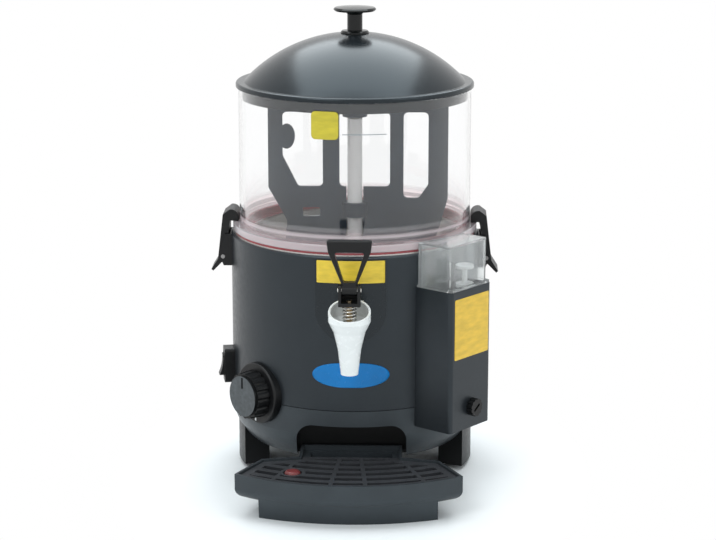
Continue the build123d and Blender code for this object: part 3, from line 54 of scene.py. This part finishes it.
# Sizes read from the frame, in metres
BOWL_LOW, BOWL_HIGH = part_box("bowl")
SHELL_LOW, SHELL_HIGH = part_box("housing_shell")
PLATE_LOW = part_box("base_plate")[0][2]
AXIS_X = 0.0
AXIS_Y = (SHELL_LOW[1] + SHELL_HIGH[1]) / 2
BODY_R = (SHELL_HIGH[0] - SHELL_LOW[0]) / 2
FLANGE_R = (BOWL_HIGH[0] - BOWL_LOW[0]) / 2
BOWL_MIDDLE = (BOWL_LOW[2] + BOWL_HIGH[2]) / 2

# Places on the part: azimuths are measured about the bowl's axis, from the front
DIAL_AZIMUTH = math.radians(-47.5)
DIAL_Z = 88.0 * MM
BOX_AZIMUTH = math.radians(52.0)

# Camera, worked out from the ellipses of the lid and the drum in a 716 by 540 picture
PICTURE_W = 716
FOCAL_PX = 2196.0
SENSOR_W = 36.0
CAMERA_DISTANCE = 2.089
CAMERA_HEIGHT = 0.692
CAMERA_PITCH = math.radians(13.53)
CAMERA_AZIMUTH = math.radians(1.8)
CAMERA_ASIDE = 0.003


# Directions and reaches


def outward(azimuth):
    """Level direction away from the bowl's axis."""
    return Vector((math.sin(azimuth), -math.cos(azimuth), 0.0))


def on_axis(z):
    """Point on the bowl's axis."""
    return Vector((AXIS_X, AXIS_Y, z))


def reach(node, direction):
    """How far a CAD node reaches from the bowl's axis in a level direction."""
    obj = NODES[node]
    return max((obj.matrix_world @ vertex.co - on_axis(0.0)).dot(direction) for vertex in obj.data.vertices)


def wall_radius(node, above=0.0):
    """Radius of a round CAD node's wall, above a height."""
    points = [vertex.co for vertex in NODES[node].data.vertices if vertex.co.z > above]
    return max((point - on_axis(0.0)).xy.length for point in points)


# Shader helpers
NOISE_SPAN = (0.3, 0.7)


def shader(name):
    """New node material: the material, its tree and its Principled shader."""
    material = bpy.data.materials.new(name)
    material.use_nodes = True
    tree = material.node_tree
    return material, tree, tree.nodes["Principled BSDF"]


def coordinates(tree, scale=(1.0, 1.0, 1.0), shift=(0.0, 0.0, 0.0)):
    """The object's own coordinates in metres, scaled and then shifted."""
    where = tree.nodes.new("ShaderNodeTexCoord")
    place = tree.nodes.new("ShaderNodeMapping")
    place.inputs["Location"].default_value = shift
    place.inputs["Scale"].default_value = scale
    tree.links.new(where.outputs["Object"], place.inputs["Vector"])
    return place.outputs["Vector"]


def noise(tree, scale, detail=3.0, stretch=(1.0, 1.0, 1.0)):
    """Noise on the object's own coordinates, with features of about 1 / scale metres."""
    texture = tree.nodes.new("ShaderNodeTexNoise")
    texture.inputs["Scale"].default_value = scale
    texture.inputs["Detail"].default_value = detail
    tree.links.new(coordinates(tree, stretch), texture.inputs["Vector"])
    return texture.outputs["Fac"]


def length(tree, vector):
    """Length of a vector."""
    node = tree.nodes.new("ShaderNodeVectorMath")
    node.operation = "LENGTH"
    tree.links.new(vector, node.inputs[0])
    return node.outputs["Value"]


def ranged(tree, value, low, high, source=NOISE_SPAN):
    """Map a value from a source span, by default that of noise, onto a range."""
    node = tree.nodes.new("ShaderNodeMapRange")
    node.inputs["From Min"].default_value = source[0]
    node.inputs["From Max"].default_value = source[1]
    node.inputs["To Min"].default_value = low
    node.inputs["To Max"].default_value = high
    tree.links.new(value, node.inputs["Value"])
    return node.outputs["Result"]


def combined(tree, first, second, operation):
    """Two values put together by a sum rule."""
    node = tree.nodes.new("ShaderNodeMath")
    node.operation = operation
    tree.links.new(first, node.inputs[0])
    tree.links.new(second, node.inputs[1])
    return node.outputs["Value"]


def blended(tree, value, dark, light):
    """Colour between two tones, led by a value from 0 to 1."""
    node = tree.nodes.new("ShaderNodeMix")
    node.data_type = "RGBA"
    node.inputs[6].default_value = (*dark, 1.0)
    node.inputs[7].default_value = (*light, 1.0)
    tree.links.new(value, node.inputs[0])
    return node.outputs[2]


def bumped(tree, bsdf, relief, strength, distance):
    """Give the shader relief from a value."""
    node = tree.nodes.new("ShaderNodeBump")
    node.inputs["Strength"].default_value = strength
    node.inputs["Distance"].default_value = distance
    tree.links.new(relief, node.inputs["Height"])
    tree.links.new(node.outputs["Normal"], bsdf.inputs["Normal"])


def tone(colour, factor):
    """A colour made lighter or darker."""
    return tuple(min(1.0, channel * factor) for channel in colour)


# Moulded, painted and printed finishes
NEUTRAL = (1.0, 1.0, 1.0)
COOL_SHEEN = (0.80, 0.92, 1.0)
CLOUD_SCALE = 40.0
GLOSS_SCALE = 240.0
GRAIN_DEPTH = 0.2 * MM


def moulded(
    name,
    colour,
    roughness,
    spread=0.10,
    grain=1800.0,
    relief=0.12,
    specular=0.5,
    sheen=NEUTRAL,
    uneven=0.05,
):
    """Moulded or painted finish: slight clouding, fine grain and uneven, tinted gloss."""
    material, tree, bsdf = shader(name)
    cloud = ranged(tree, noise(tree, CLOUD_SCALE), 0.0, 1.0)
    tint = blended(tree, cloud, tone(colour, 1.0 - spread), tone(colour, 1.0 + spread))
    tree.links.new(tint, bsdf.inputs["Base Color"])
    gloss = ranged(tree, noise(tree, GLOSS_SCALE), roughness - uneven, roughness + uneven)
    tree.links.new(gloss, bsdf.inputs["Roughness"])
    bsdf.inputs["Specular IOR Level"].default_value = specular
    bsdf.inputs["Specular Tint"].default_value = (*sheen, 1.0)
    bumped(tree, bsdf, noise(tree, grain, 2.0), relief, GRAIN_DEPTH)
    return material


BLACK_TONE = (0.004, 0.0044, 0.005)
FACE_TONE = (0.085, 0.095, 0.102)
FACE_DEPTHS = (0.3 * MM, 0.2 * MM)
WEAR_SCALE = 220.0
WEAR_SPAN = (0.6, 1.0)


def black_moulding(name):
    """Black moulded plastic with a dull grain."""
    return moulded(name, BLACK_TONE, roughness=0.40, relief=0.2, specular=0.32)


def dial_moulding():
    """Black moulding whose outermost face carries a worn, lighter print."""
    material = black_moulding("dial_moulding")
    tree = material.node_tree
    direction = outward(DIAL_AZIMUTH)
    outermost = max(vertex.co.dot(direction) for vertex in NODES["thermostat_knob"].data.vertices)
    along = tree.nodes.new("ShaderNodeVectorMath")
    along.operation = "DOT_PRODUCT"
    along.inputs[1].default_value = direction
    tree.links.new(coordinates(tree), along.inputs[0])
    span = [outermost - depth for depth in FACE_DEPTHS]
    printed = ranged(tree, along.outputs["Value"], 0.0, 1.0, span)
    worn = combined(tree, printed, ranged(tree, noise(tree, WEAR_SCALE), *WEAR_SPAN), "MULTIPLY")
    tint = blended(tree, worn, BLACK_TONE, FACE_TONE)
    tree.links.new(tint, tree.nodes["Principled BSDF"].inputs["Base Color"])
    return material


ROW_SCALE = 240.0
ROW_STRETCH = (0.30, 0.30, 1.0)


def sticker_film(name, colour):
    """Printed film: a moulded finish with faint worn rows."""
    material = moulded(name, colour, roughness=0.38, grain=900.0, relief=0.05)
    tree = material.node_tree
    rows = ranged(tree, noise(tree, ROW_SCALE, 3.0, ROW_STRETCH), 0.0, 1.0)
    tint = blended(tree, rows, tone(colour, 0.84), tone(colour, 1.06))
    tree.links.new(tint, tree.nodes["Principled BSDF"].inputs["Base Color"])
    return material


# Clear plastics
CLEAR_IOR = 1.50
HAZE_SCALE = 60.0
SMEAR_SCALE = 90.0
HAZE_DETAIL = 4.0
HAZE_STRETCH = (1.0, 1.0, 0.3)
SMEAR = 0.03


def hazy_clear(name, colour, roughness, milky):
    """Clear plastic with wiping haze: the material, its tree, its shader and the milky share."""
    material, tree, bsdf = shader(name)
    bsdf.inputs["IOR"].default_value = CLEAR_IOR
    haze = noise(tree, HAZE_SCALE, HAZE_DETAIL, HAZE_STRETCH)
    tint = blended(tree, ranged(tree, haze, 0.0, 1.0), tone(colour, 0.99), colour)
    tree.links.new(tint, bsdf.inputs["Base Color"])
    smear = noise(tree, SMEAR_SCALE, HAZE_DETAIL, HAZE_STRETCH)
    tree.links.new(ranged(tree, smear, roughness, roughness + SMEAR), bsdf.inputs["Roughness"])
    return material, tree, bsdf, ranged(tree, haze, *milky)


def through(tree, bsdf, share):
    """Let light through the shader, but for a milky share."""
    clear = tree.nodes.new("ShaderNodeMath")
    clear.operation = "SUBTRACT"
    clear.use_clamp = True
    clear.inputs[0].default_value = 1.0
    tree.links.new(share, clear.inputs[1])
    tree.links.new(clear.outputs["Value"], bsdf.inputs["Transmission Weight"])


def axis_distance(tree):
    """Distance from the bowl's axis, in metres."""
    return length(tree, coordinates(tree, (1.0, 1.0, 0.0), (-AXIS_X, -AXIS_Y, 0.0)))


def counter_height(tree):
    """Height above the counter, in metres."""
    parts = tree.nodes.new("ShaderNodeSeparateXYZ")
    tree.links.new(coordinates(tree), parts.inputs["Vector"])
    return parts.outputs["Z"]


BOWL_TINT = (0.995, 0.998, 1.0)
# Painted light on the bowl: a pink painted glow of the red seal in the foot, and milky shares as painted
# highlights on the flange edge and in bands across the foot
PAINTED_SEAL_PINK = (1.0, 0.88, 0.90)
EDGE_PAINTED_HIGHLIGHT = 0.42
EDGE_SPAN = (FLANGE_R - 0.9 * MM, FLANGE_R - 0.3 * MM)
FOOT_PAINTED_HIGHLIGHT = 0.42
FOOT_FADE = (247.0 * MM, 256.0 * MM)
BAND_SCALE = 30.0
BAND_STRETCH = (0.03, 0.03, 9.0)
BAND_SPAN = (0.35, 0.65)


def clear_bowl():
    """Clear bowl: a milky flange edge and milky bands in the foot as painted highlights, and a painted pink
    glow of the red seal seen through the foot.
    """
    material, tree, bsdf, share = hazy_clear("clear_bowl", BOWL_TINT, 0.01, (0.0, 0.003))
    # Painted highlights: milky at the flange edge and in bands across the foot
    edge = ranged(tree, axis_distance(tree), 0.0, EDGE_PAINTED_HIGHLIGHT, EDGE_SPAN)
    foot = ranged(tree, counter_height(tree), FOOT_PAINTED_HIGHLIGHT, 0.0, FOOT_FADE)
    band = ranged(tree, noise(tree, BAND_SCALE, 2.0, BAND_STRETCH), 0.1, 1.0, BAND_SPAN)
    foot = combined(tree, foot, band, "MULTIPLY")
    milky = combined(tree, combined(tree, edge, foot, "MAXIMUM"), share, "ADD")
    through(tree, bsdf, milky)
    # Painted pink glow of the red seal, fading out up the foot
    painted_seal_share = ranged(tree, counter_height(tree), 1.0, 0.0, FOOT_FADE)
    tree.links.new(blended(tree, painted_seal_share, BOWL_TINT, PAINTED_SEAL_PINK), bsdf.inputs["Base Color"])
    return material


def clear_cover():
    """Slightly milky clear cover of the water box."""
    material, tree, bsdf, share = hazy_clear("clear_cover", (0.97, 0.99, 0.99), 0.06, (0.05, 0.17))
    through(tree, bsdf, share)
    return material


# Metals and rubbers
STREAK_SCALE = 900.0
STREAK_DEPTH = 0.1 * MM
ROUND_STREAK = (1.0, 1.0, 12.0)
WIRE_STREAK = (1.0, 1.0, 6.0)
TURNED_STREAK = (14.0, 14.0, 1.0)
CAST_STREAK = (1.0, 1.0, 1.0)


def brushed(name, colour, roughness, stretch):
    """Metal with fine streaks in its gloss and relief."""
    material, tree, bsdf = shader(name)
    bsdf.inputs["Metallic"].default_value = 1.0
    streak = noise(tree, STREAK_SCALE, 2.0, stretch)
    tint = blended(tree, ranged(tree, streak, 0.0, 1.0), tone(colour, 0.85), tone(colour, 1.1))
    tree.links.new(tint, bsdf.inputs["Base Color"])
    gloss = ranged(tree, streak, roughness - 0.08, roughness + 0.10)
    tree.links.new(gloss, bsdf.inputs["Roughness"])
    bumped(tree, bsdf, streak, 0.08, STREAK_DEPTH)
    return material


DUST_SCALE = 120.0
DULL_SCALE = 400.0
RUBBER_GRAIN = 2500.0
GLOW_DEPTH = 4.0 * MM


def soft_rubber(name, colour, roughness, subsurface=0.0):
    """Silicone or rubber: dull, with a dusty clouding."""
    material, tree, bsdf = shader(name)
    cloud = ranged(tree, noise(tree, DUST_SCALE, 4.0), 0.0, 1.0)
    tint = blended(tree, cloud, tone(colour, 0.85), tone(colour, 1.15))
    tree.links.new(tint, bsdf.inputs["Base Color"])
    gloss = ranged(tree, noise(tree, DULL_SCALE), roughness - 0.06, roughness + 0.08)
    tree.links.new(gloss, bsdf.inputs["Roughness"])
    bsdf.inputs["Subsurface Weight"].default_value = subsurface
    bsdf.inputs["Subsurface Scale"].default_value = GLOW_DEPTH
    bumped(tree, bsdf, noise(tree, RUBBER_GRAIN, 2.0), 0.15, GRAIN_DEPTH)
    return material


# Finish of each CAD node
PAINT = {"grain": 2600.0, "relief": 0.10, "sheen": COOL_SHEEN}
SMOOTH = {"relief": 0.006, "specular": 0.41, "sheen": COOL_SHEEN, "uneven": 0.015}
PALE = {"grain": 1400.0, "relief": 0.05}
STEEL_BRIGHT = brushed("steel_bright", (0.66, 0.65, 0.62), 0.20, WIRE_STREAK)
FINISH = {
    moulded("drum_paint", (0.0120, 0.0142, 0.0170), 0.33, **PAINT): (
        "housing_shell",
        "water_box",
        "rear_panel",
    ),
    # The lower skirt wears the tray's lighter paint: partly its own moulding, partly painted fill light on
    # its downward-facing wall
    moulded("tray_paint_and_painted_fill", (0.0300, 0.0345, 0.0385), 0.36, **PAINT): ("lower_skirt", "drip_tray"),
    # The escutcheon is painted darker than the drum: painted shade that shows the outline of the plate
    moulded("plate_painted_shade", (0.0050, 0.0058, 0.0070), 0.30, relief=0.05, sheen=COOL_SHEEN): ("escutcheon",),
    moulded("dark_sheet", (0.030, 0.030, 0.033), 0.45, grain=1200.0, relief=0.2): ("base_plate",),
    moulded("lid_satin", (0.0075, 0.0098, 0.0118), 0.225, **SMOOTH): ("lid",),
    moulded("lid_knob_gloss", (0.006, 0.007, 0.007), 0.14, relief=0.02, specular=0.32): ("lid_knob",),
    moulded("grate_moulding", (0.040, 0.041, 0.045), 0.34, relief=0.15): ("drip_grate",),
    moulded("paddle_satin", (0.031, 0.044, 0.060), 0.45, grain=1500.0, sheen=COOL_SHEEN): ("stirrer",),
    moulded("white_moulding", (0.86, 0.87, 0.86), 0.25, spread=0.02, **PALE): ("tap_body", "level_float"),
    moulded("column_pale", (0.95, 0.95, 0.94), 0.40, spread=0.03, **PALE): ("shaft_column",),
    # The tap nut is white moulding; its darker cream tone is painted shade
    moulded("white_nut_painted_shade", (0.72, 0.69, 0.58), 0.40, spread=0.05): ("tap_nut",),
    black_moulding("black_moulding"): (
        "recess_liner",
        "legs",
        "tap_bonnet",
        "tap_lever",
        "drain_plug",
        "dial_bezel",
        "switch_bezel",
        "switch_rocker",
        "latch_left",
        "latch_right",
        "latch_bracket_left",
        "latch_bracket_right",
        "cable_inlet",
    ),
    dial_moulding(): ("thermostat_knob",),
    clear_bowl(): ("bowl",),
    clear_cover(): ("box_cover",),
    brushed("steel_turned", (0.62, 0.61, 0.59), 0.28, ROUND_STREAK): (
        "inner_pan",
        "pan_floor",
        "water_bath",
    ),
    STEEL_BRIGHT: (
        "heating_element",
        "motor_bracket",
        "knob_screw",
        "drive_shaft",
        "lever_pin",
        "tap_spring",
        "water_pipe",
    ),
    brushed("steel_dull", (0.30, 0.30, 0.30), 0.38, WIRE_STREAK): ("latch_pin_left", "latch_pin_right"),
    brushed("brass_plunger", (0.60, 0.47, 0.30), 0.26, TURNED_STREAK): ("tap_plunger",),
    brushed("cast_aluminium", (0.48, 0.48, 0.47), 0.42, CAST_STREAK): ("gear_motor", "thermostat_body"),
    soft_rubber("red_silicone", (0.40, 0.075, 0.085), 0.45, subsurface=0.15): ("bowl_seal", "tap_seal"),
    soft_rubber("red_float", (0.16, 0.022, 0.022), 0.40): ("tray_float",),
    soft_rubber("black_rubber", (0.014, 0.014, 0.015), 0.70): ("rubber_pads",),
}
for material, nodes in FINISH.items():
    for node in nodes:
        mesh_data = NODES[node].data
        mesh_data.materials.clear()
        mesh_data.materials.append(material)


# Pieces that the scene adds: screws, a copy of the tap spring, stickers, badge and printed marks


def finished(name, mesh, material, body):
    """Turn a bmesh into a smooth piece with a finish, carried by a CAD body."""
    bmesh.ops.recalc_face_normals(mesh, faces=mesh.faces)
    data = bpy.data.meshes.new(name)
    mesh.to_mesh(data)
    mesh.free()
    for polygon in data.polygons:
        polygon.use_smooth = True
    data.materials.append(material)
    piece = bpy.data.objects.new(name, data)
    bpy.context.scene.collection.objects.link(piece)
    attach(piece, body)
    return piece


# Screw head, with shares of its radius and, for the recess floor, of its rise
SCREW_R = 3.2 * MM
SCREW_SEGMENTS = 64
SCREW_RINGS = 20
HEAD_RISE = 0.55 * SCREW_R
RECESS_REACH = 0.62 * SCREW_R
RECESS_HALF = 0.15 * SCREW_R
RECESS_FLOOR = 0.35 * HEAD_RISE


def head_lift(distance, step):
    """Height of a screw head at a distance from its middle and an angle from its cross recess."""
    narrow = distance * min(abs(math.cos(step)), abs(math.sin(step)))
    if distance < RECESS_REACH and narrow < RECESS_HALF:
        return RECESS_FLOOR
    return HEAD_RISE * math.sqrt(max(0.0, 1.0 - (distance / SCREW_R) ** 3))


def screw(name, seat, normal, turned):
    """Pan-head screw with a cross recess, seated on a surface."""
    mesh = bmesh.new()
    side = normal.orthogonal().normalized()
    upright = normal.cross(side)
    last = [mesh.verts.new(seat + RECESS_FLOOR * normal)] * SCREW_SEGMENTS
    for ring in range(1, SCREW_RINGS + 1):
        distance = SCREW_R * ring / SCREW_RINGS
        row = []
        for segment in range(SCREW_SEGMENTS):
            step = 2 * math.pi * segment / SCREW_SEGMENTS
            spoke = math.cos(turned + step) * side + math.sin(turned + step) * upright
            row.append(mesh.verts.new(seat + distance * spoke + head_lift(distance, step) * normal))
        for segment in range(SCREW_SEGMENTS):
            after = (segment + 1) % SCREW_SEGMENTS
            corners = [last[segment], row[segment], row[after]]
            if ring > 1:
                corners.append(last[after])
            mesh.faces.new(corners)
        last = row
    mesh.faces.new(list(reversed(last)))
    return finished(name, mesh, STEEL_BRIGHT, "base")


PANEL_R = wall_radius("rear_panel")
PANEL_SCREW_ROWS = (104.0 * MM, 206.0 * MM)
PANEL_SCREW_ASIDE = 50.0 * MM
PANEL_SCREW_TURN = 0.4
for number, (z, side) in enumerate(product(PANEL_SCREW_ROWS, (-1, 1))):
    normal = outward(math.pi + side * PANEL_SCREW_ASIDE / PANEL_R)
    seat = on_axis(z) + PANEL_R * normal
    screw(f"panel_screw_{number + 1}", seat, normal, PANEL_SCREW_TURN * number)

PLATE_SCREW_R = 88.0 * MM
PLATE_SCREW_AZIMUTHS = (45.0, 112.0, 180.0, 248.0, 315.0)
PLATE_SCREW_TURN = 0.7
DOWN = Vector((0.0, 0.0, -1.0))
for number, azimuth in enumerate(PLATE_SCREW_AZIMUTHS):
    seat = on_axis(PLATE_LOW) + PLATE_SCREW_R * outward(math.radians(azimuth))
    screw(f"plate_screw_{number + 1}", seat, DOWN, PLATE_SCREW_TURN * number)


# Tap spring: the CAD coil again, as a piece of its own carried by the base, with the CAD node hidden
tap_coil = bpy.data.objects.new("tap_coil", NODES["tap_spring"].data.copy())
bpy.context.scene.collection.objects.link(tap_coil)
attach(tap_coil, "base")
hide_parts("tap_spring")
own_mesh(tap_coil)


def on_cylinder(radius, azimuth, z):
    """Placing rule for a sheet that wraps a round wall: across, up and lift to a point."""
    def place(across, up, lift):
        return on_axis(z + up) + (radius + lift) * outward(azimuth + across / radius)
    return place


def on_face(radius, azimuth, aside, z):
    """Placing rule for a sheet on a flat upright face."""
    normal = outward(azimuth)
    along = Vector((-normal.y, normal.x, 0.0))
    def place(across, up, lift):
        return on_axis(z + up) + (radius + lift) * normal + (aside + across) * along
    return place


def spread_row(half, up, columns):
    """Points of one row of a sheet, from its left edge to its right edge."""
    return [(half * (2 * column / columns - 1), up) for column in range(columns + 1)]


def rounded_rows(width, height, corner, columns=28, rows=20):
    """Rows of points that fill a rectangle with rounded corners, from low to high."""
    lines = []
    for row in range(rows + 1):
        up = -height / 2 * math.cos(math.pi * row / rows)
        over = max(0.0, abs(up) - (height / 2 - corner))
        half = width / 2 - corner + math.sqrt(max(0.0, corner**2 - over**2))
        lines.append(spread_row(half, up, columns))
    return lines


def oval_rows(width, height, fullness, columns=28, rows=20):
    """Rows of points that fill an oval, from low to high, whose end rows stay a little off its tips."""
    off_tip = 0.25
    lines = []
    for row in range(rows + 1):
        angle = math.pi * (row + off_tip * (1 - 2 * row / rows)) / rows
        half = width / 2 * math.sin(angle) ** fullness
        lines.append(spread_row(half, -height / 2 * math.cos(angle), columns))
    return lines


def rim_of(layer):
    """Points round the edge of a layer of rows, in order."""
    right = [line[-1] for line in layer[1:]]
    left = [line[0] for line in reversed(layer[1:-1])]
    return layer[0] + right + list(reversed(layer[-1][:-1])) + left


FILM = 0.2 * MM
EDGE_DROP = 0.35


def decal(name, place, lines, material, body, thickness=FILM):
    """Thin printed sheet with a rounded-off edge, laid on a surface by a placing rule."""
    mesh = bmesh.new()
    rows = len(lines) - 1
    columns = len(lines[0]) - 1
    layers = []
    for lift, drop in ((0.0, 0.0), (thickness, EDGE_DROP * thickness)):
        layer = []
        for row, line in enumerate(lines):
            points = []
            for column, (across, up) in enumerate(line):
                at_edge = row in (0, rows) or column in (0, columns)
                points.append(mesh.verts.new(place(across, up, lift - drop if at_edge else lift)))
            layer.append(points)
        layers.append(layer)
    back, front = layers
    for row, column in product(range(rows), range(columns)):
        for layer, step in ((front, 1), (back, -1)):
            low = layer[row][column:column + 2]
            high = layer[row + 1][column:column + 2]
            mesh.faces.new((low + high[::-1])[::step])
    low_rim = rim_of(back)
    high_rim = rim_of(front)
    for here in range(len(low_rim)):
        there = (here + 1) % len(low_rim)
        mesh.faces.new((low_rim[here], low_rim[there], high_rim[there], high_rim[here]))
    return finished(name, mesh, material, body)


YELLOW = sticker_film("yellow_sticker", (0.88, 0.62, 0.05))
GOLD = sticker_film("golden_sticker", (0.80, 0.51, 0.045))
LEMON = sticker_film("lemon_sticker", (0.62, 0.51, 0.035))
BLUE = moulded(
    "blue_badge",
    (0.006, 0.19, 0.52),
    roughness=0.24,
    grain=900.0,
    relief=0.04,
    specular=0.25,
)
PRINT_WHITE = moulded("white_print", (0.80, 0.80, 0.78), roughness=0.45, spread=0.03)
PRINT_GREY = moulded("grey_print", (0.30, 0.32, 0.34), roughness=0.45, spread=0.03)
BOWL_R = wall_radius("bowl", above=BOWL_MIDDLE)
ESCUTCHEON_R = wall_radius("escutcheon")
BOX_FACE_R = reach("water_box", outward(BOX_AZIMUTH))
BEZEL_FACE_R = reach("dial_bezel", outward(DIAL_AZIMUTH))

decal(
    "front_sticker",
    on_cylinder(ESCUTCHEON_R, azimuth=0.0, z=216.2 * MM),
    rounded_rows(width=64.0 * MM, height=21.2 * MM, corner=1.0 * MM),
    YELLOW,
    "base",
)
decal(
    "front_badge",
    on_cylinder(BODY_R, azimuth=0.0, z=117.0 * MM),
    oval_rows(width=73.0 * MM, height=24.0 * MM, fullness=0.78),
    BLUE,
    "base",
    thickness=1.2 * MM,
)
decal(
    "box_sticker",
    on_face(BOX_FACE_R, BOX_AZIMUTH, aside=-13.5 * MM, z=162.0 * MM),
    rounded_rows(width=52.0 * MM, height=58.0 * MM, corner=1.5 * MM),
    GOLD,
    "base",
)
decal(
    "bowl_sticker",
    on_cylinder(BOWL_R, azimuth=math.radians(-12.5), z=351.0 * MM),
    rounded_rows(width=26.0 * MM, height=26.0 * MM, corner=4.0 * MM),
    LEMON,
    "base",
)
decal(
    "level_line",
    on_cylinder(BOWL_R, azimuth=math.radians(6.4), z=343.0 * MM),
    rounded_rows(width=41.0 * MM, height=0.8 * MM, corner=0.3 * MM, rows=8),
    PRINT_GREY,
    "base",
    thickness=0.1 * MM,
)
MARK_DROP = 25.4 * MM
decal(
    "index_mark",
    on_face(BEZEL_FACE_R, DIAL_AZIMUTH, aside=0.0, z=DIAL_Z - MARK_DROP),
    rounded_rows(width=2.2 * MM, height=3.4 * MM, corner=0.8 * MM, columns=12, rows=16),
    PRINT_WHITE,
    "base",
)


# Studio: pale floor, white surroundings and soft lights
FLOOR_HALF = 6.0
PAPER_TONES = ((0.86, 0.86, 0.86), (0.88, 0.88, 0.88))
PAPER_SCALE = 6.0
PAPER_ROUGHNESS = 0.9
PAPER_SPREAD = (1.36, 0.86, 1.0)
PAPER_FADE = (0.18, 0.31)
AMBIENT = 0.62
COOL = (0.90, 0.97, 1.0)
MIDDLE = (0.0, AXIS_Y, 0.22)


def area_light(name, place, target, size, power):
    """Soft rectangular light that looks at a point."""
    lamp = bpy.data.lights.new(name, "AREA")
    lamp.shape = "RECTANGLE"
    lamp.size, lamp.size_y = size
    lamp.energy = power
    lamp.color = COOL
    holder = bpy.data.objects.new(name, lamp)
    bpy.context.scene.collection.objects.link(holder)
    holder.location = place
    holder.rotation_euler = (Vector(target) - Vector(place)).to_track_quat("-Z", "Y").to_euler()
    return holder


def seen_directly(tree):
    """Value that is 1 for rays from the camera, a gloss or clear plastic, and 0 for scattered light."""
    path = tree.nodes.new("ShaderNodeLightPath")
    value = path.outputs["Is Camera Ray"]
    for kind in ("Is Glossy Ray", "Is Transmission Ray"):
        value = combined(tree, value, path.outputs[kind], "MAXIMUM")
    return value


def floor_paper():
    """Pale matt paper near the object that runs out into plain white."""
    material, tree, bsdf = shader("floor_paper")
    cloud = ranged(tree, noise(tree, PAPER_SCALE), 0.0, 1.0)
    tree.links.new(blended(tree, cloud, *PAPER_TONES), bsdf.inputs["Base Color"])
    bsdf.inputs["Roughness"].default_value = PAPER_ROUGHNESS
    far = ranged(tree, length(tree, coordinates(tree, PAPER_SPREAD)), 0.0, 1.0, PAPER_FADE)
    share = combined(tree, far, seen_directly(tree), "MULTIPLY")
    white = tree.nodes.new("ShaderNodeEmission")
    white.inputs["Strength"].default_value = 1.0
    mix = tree.nodes.new("ShaderNodeMixShader")
    tree.links.new(share, mix.inputs["Fac"])
    tree.links.new(bsdf.outputs["BSDF"], mix.inputs[1])
    tree.links.new(white.outputs["Emission"], mix.inputs[2])
    tree.links.new(mix.outputs["Shader"], tree.nodes["Material Output"].inputs["Surface"])
    return material


def white_surroundings():
    """World that looks plain white and lights the object softly."""
    world = bpy.data.worlds.new("studio_world")
    bpy.context.scene.world = world
    world.use_nodes = True
    tree = world.node_tree
    sky = tree.nodes["Background"]
    seen = seen_directly(tree)
    tree.links.new(blended(tree, seen, COOL, NEUTRAL), sky.inputs["Color"])
    tree.links.new(ranged(tree, seen, AMBIENT, 1.0, (0.0, 1.0)), sky.inputs["Strength"])


bpy.ops.mesh.primitive_plane_add(size=2 * FLOOR_HALF, location=(0.0, 0.0, 0.0))
floor = bpy.context.object
floor.name = "studio_floor"
floor.data.materials.append(floor_paper())
white_surroundings()
lights = [
    area_light("key_light", (-1.1, -1.6, 1.9), MIDDLE, size=(1.1, 1.1), power=18.0),
    area_light("fill_light", (1.7, -1.2, 1.0), MIDDLE, size=(1.2, 1.2), power=6.0),
    area_light("top_light", (0.0, 0.95, 1.60), (0.0, 0.95, 0.0), size=(1.62, 2.5), power=43.0),
]

camera_data = bpy.data.cameras.new("photo_camera")
camera_data.sensor_width = SENSOR_W
camera_data.lens = FOCAL_PX * SENSOR_W / PICTURE_W
camera = bpy.data.objects.new("photo_camera", camera_data)
bpy.context.scene.collection.objects.link(camera)
turn = Matrix.Rotation(CAMERA_AZIMUTH, 4, "Z")
camera.location = turn @ Vector((CAMERA_ASIDE, -CAMERA_DISTANCE, CAMERA_HEIGHT)) + on_axis(0.0)
camera.rotation_euler = (math.pi / 2 - CAMERA_PITCH, 0.0, CAMERA_AZIMUTH)
bpy.context.scene.camera = camera
bpy.context.scene.view_settings.view_transform = "Standard"
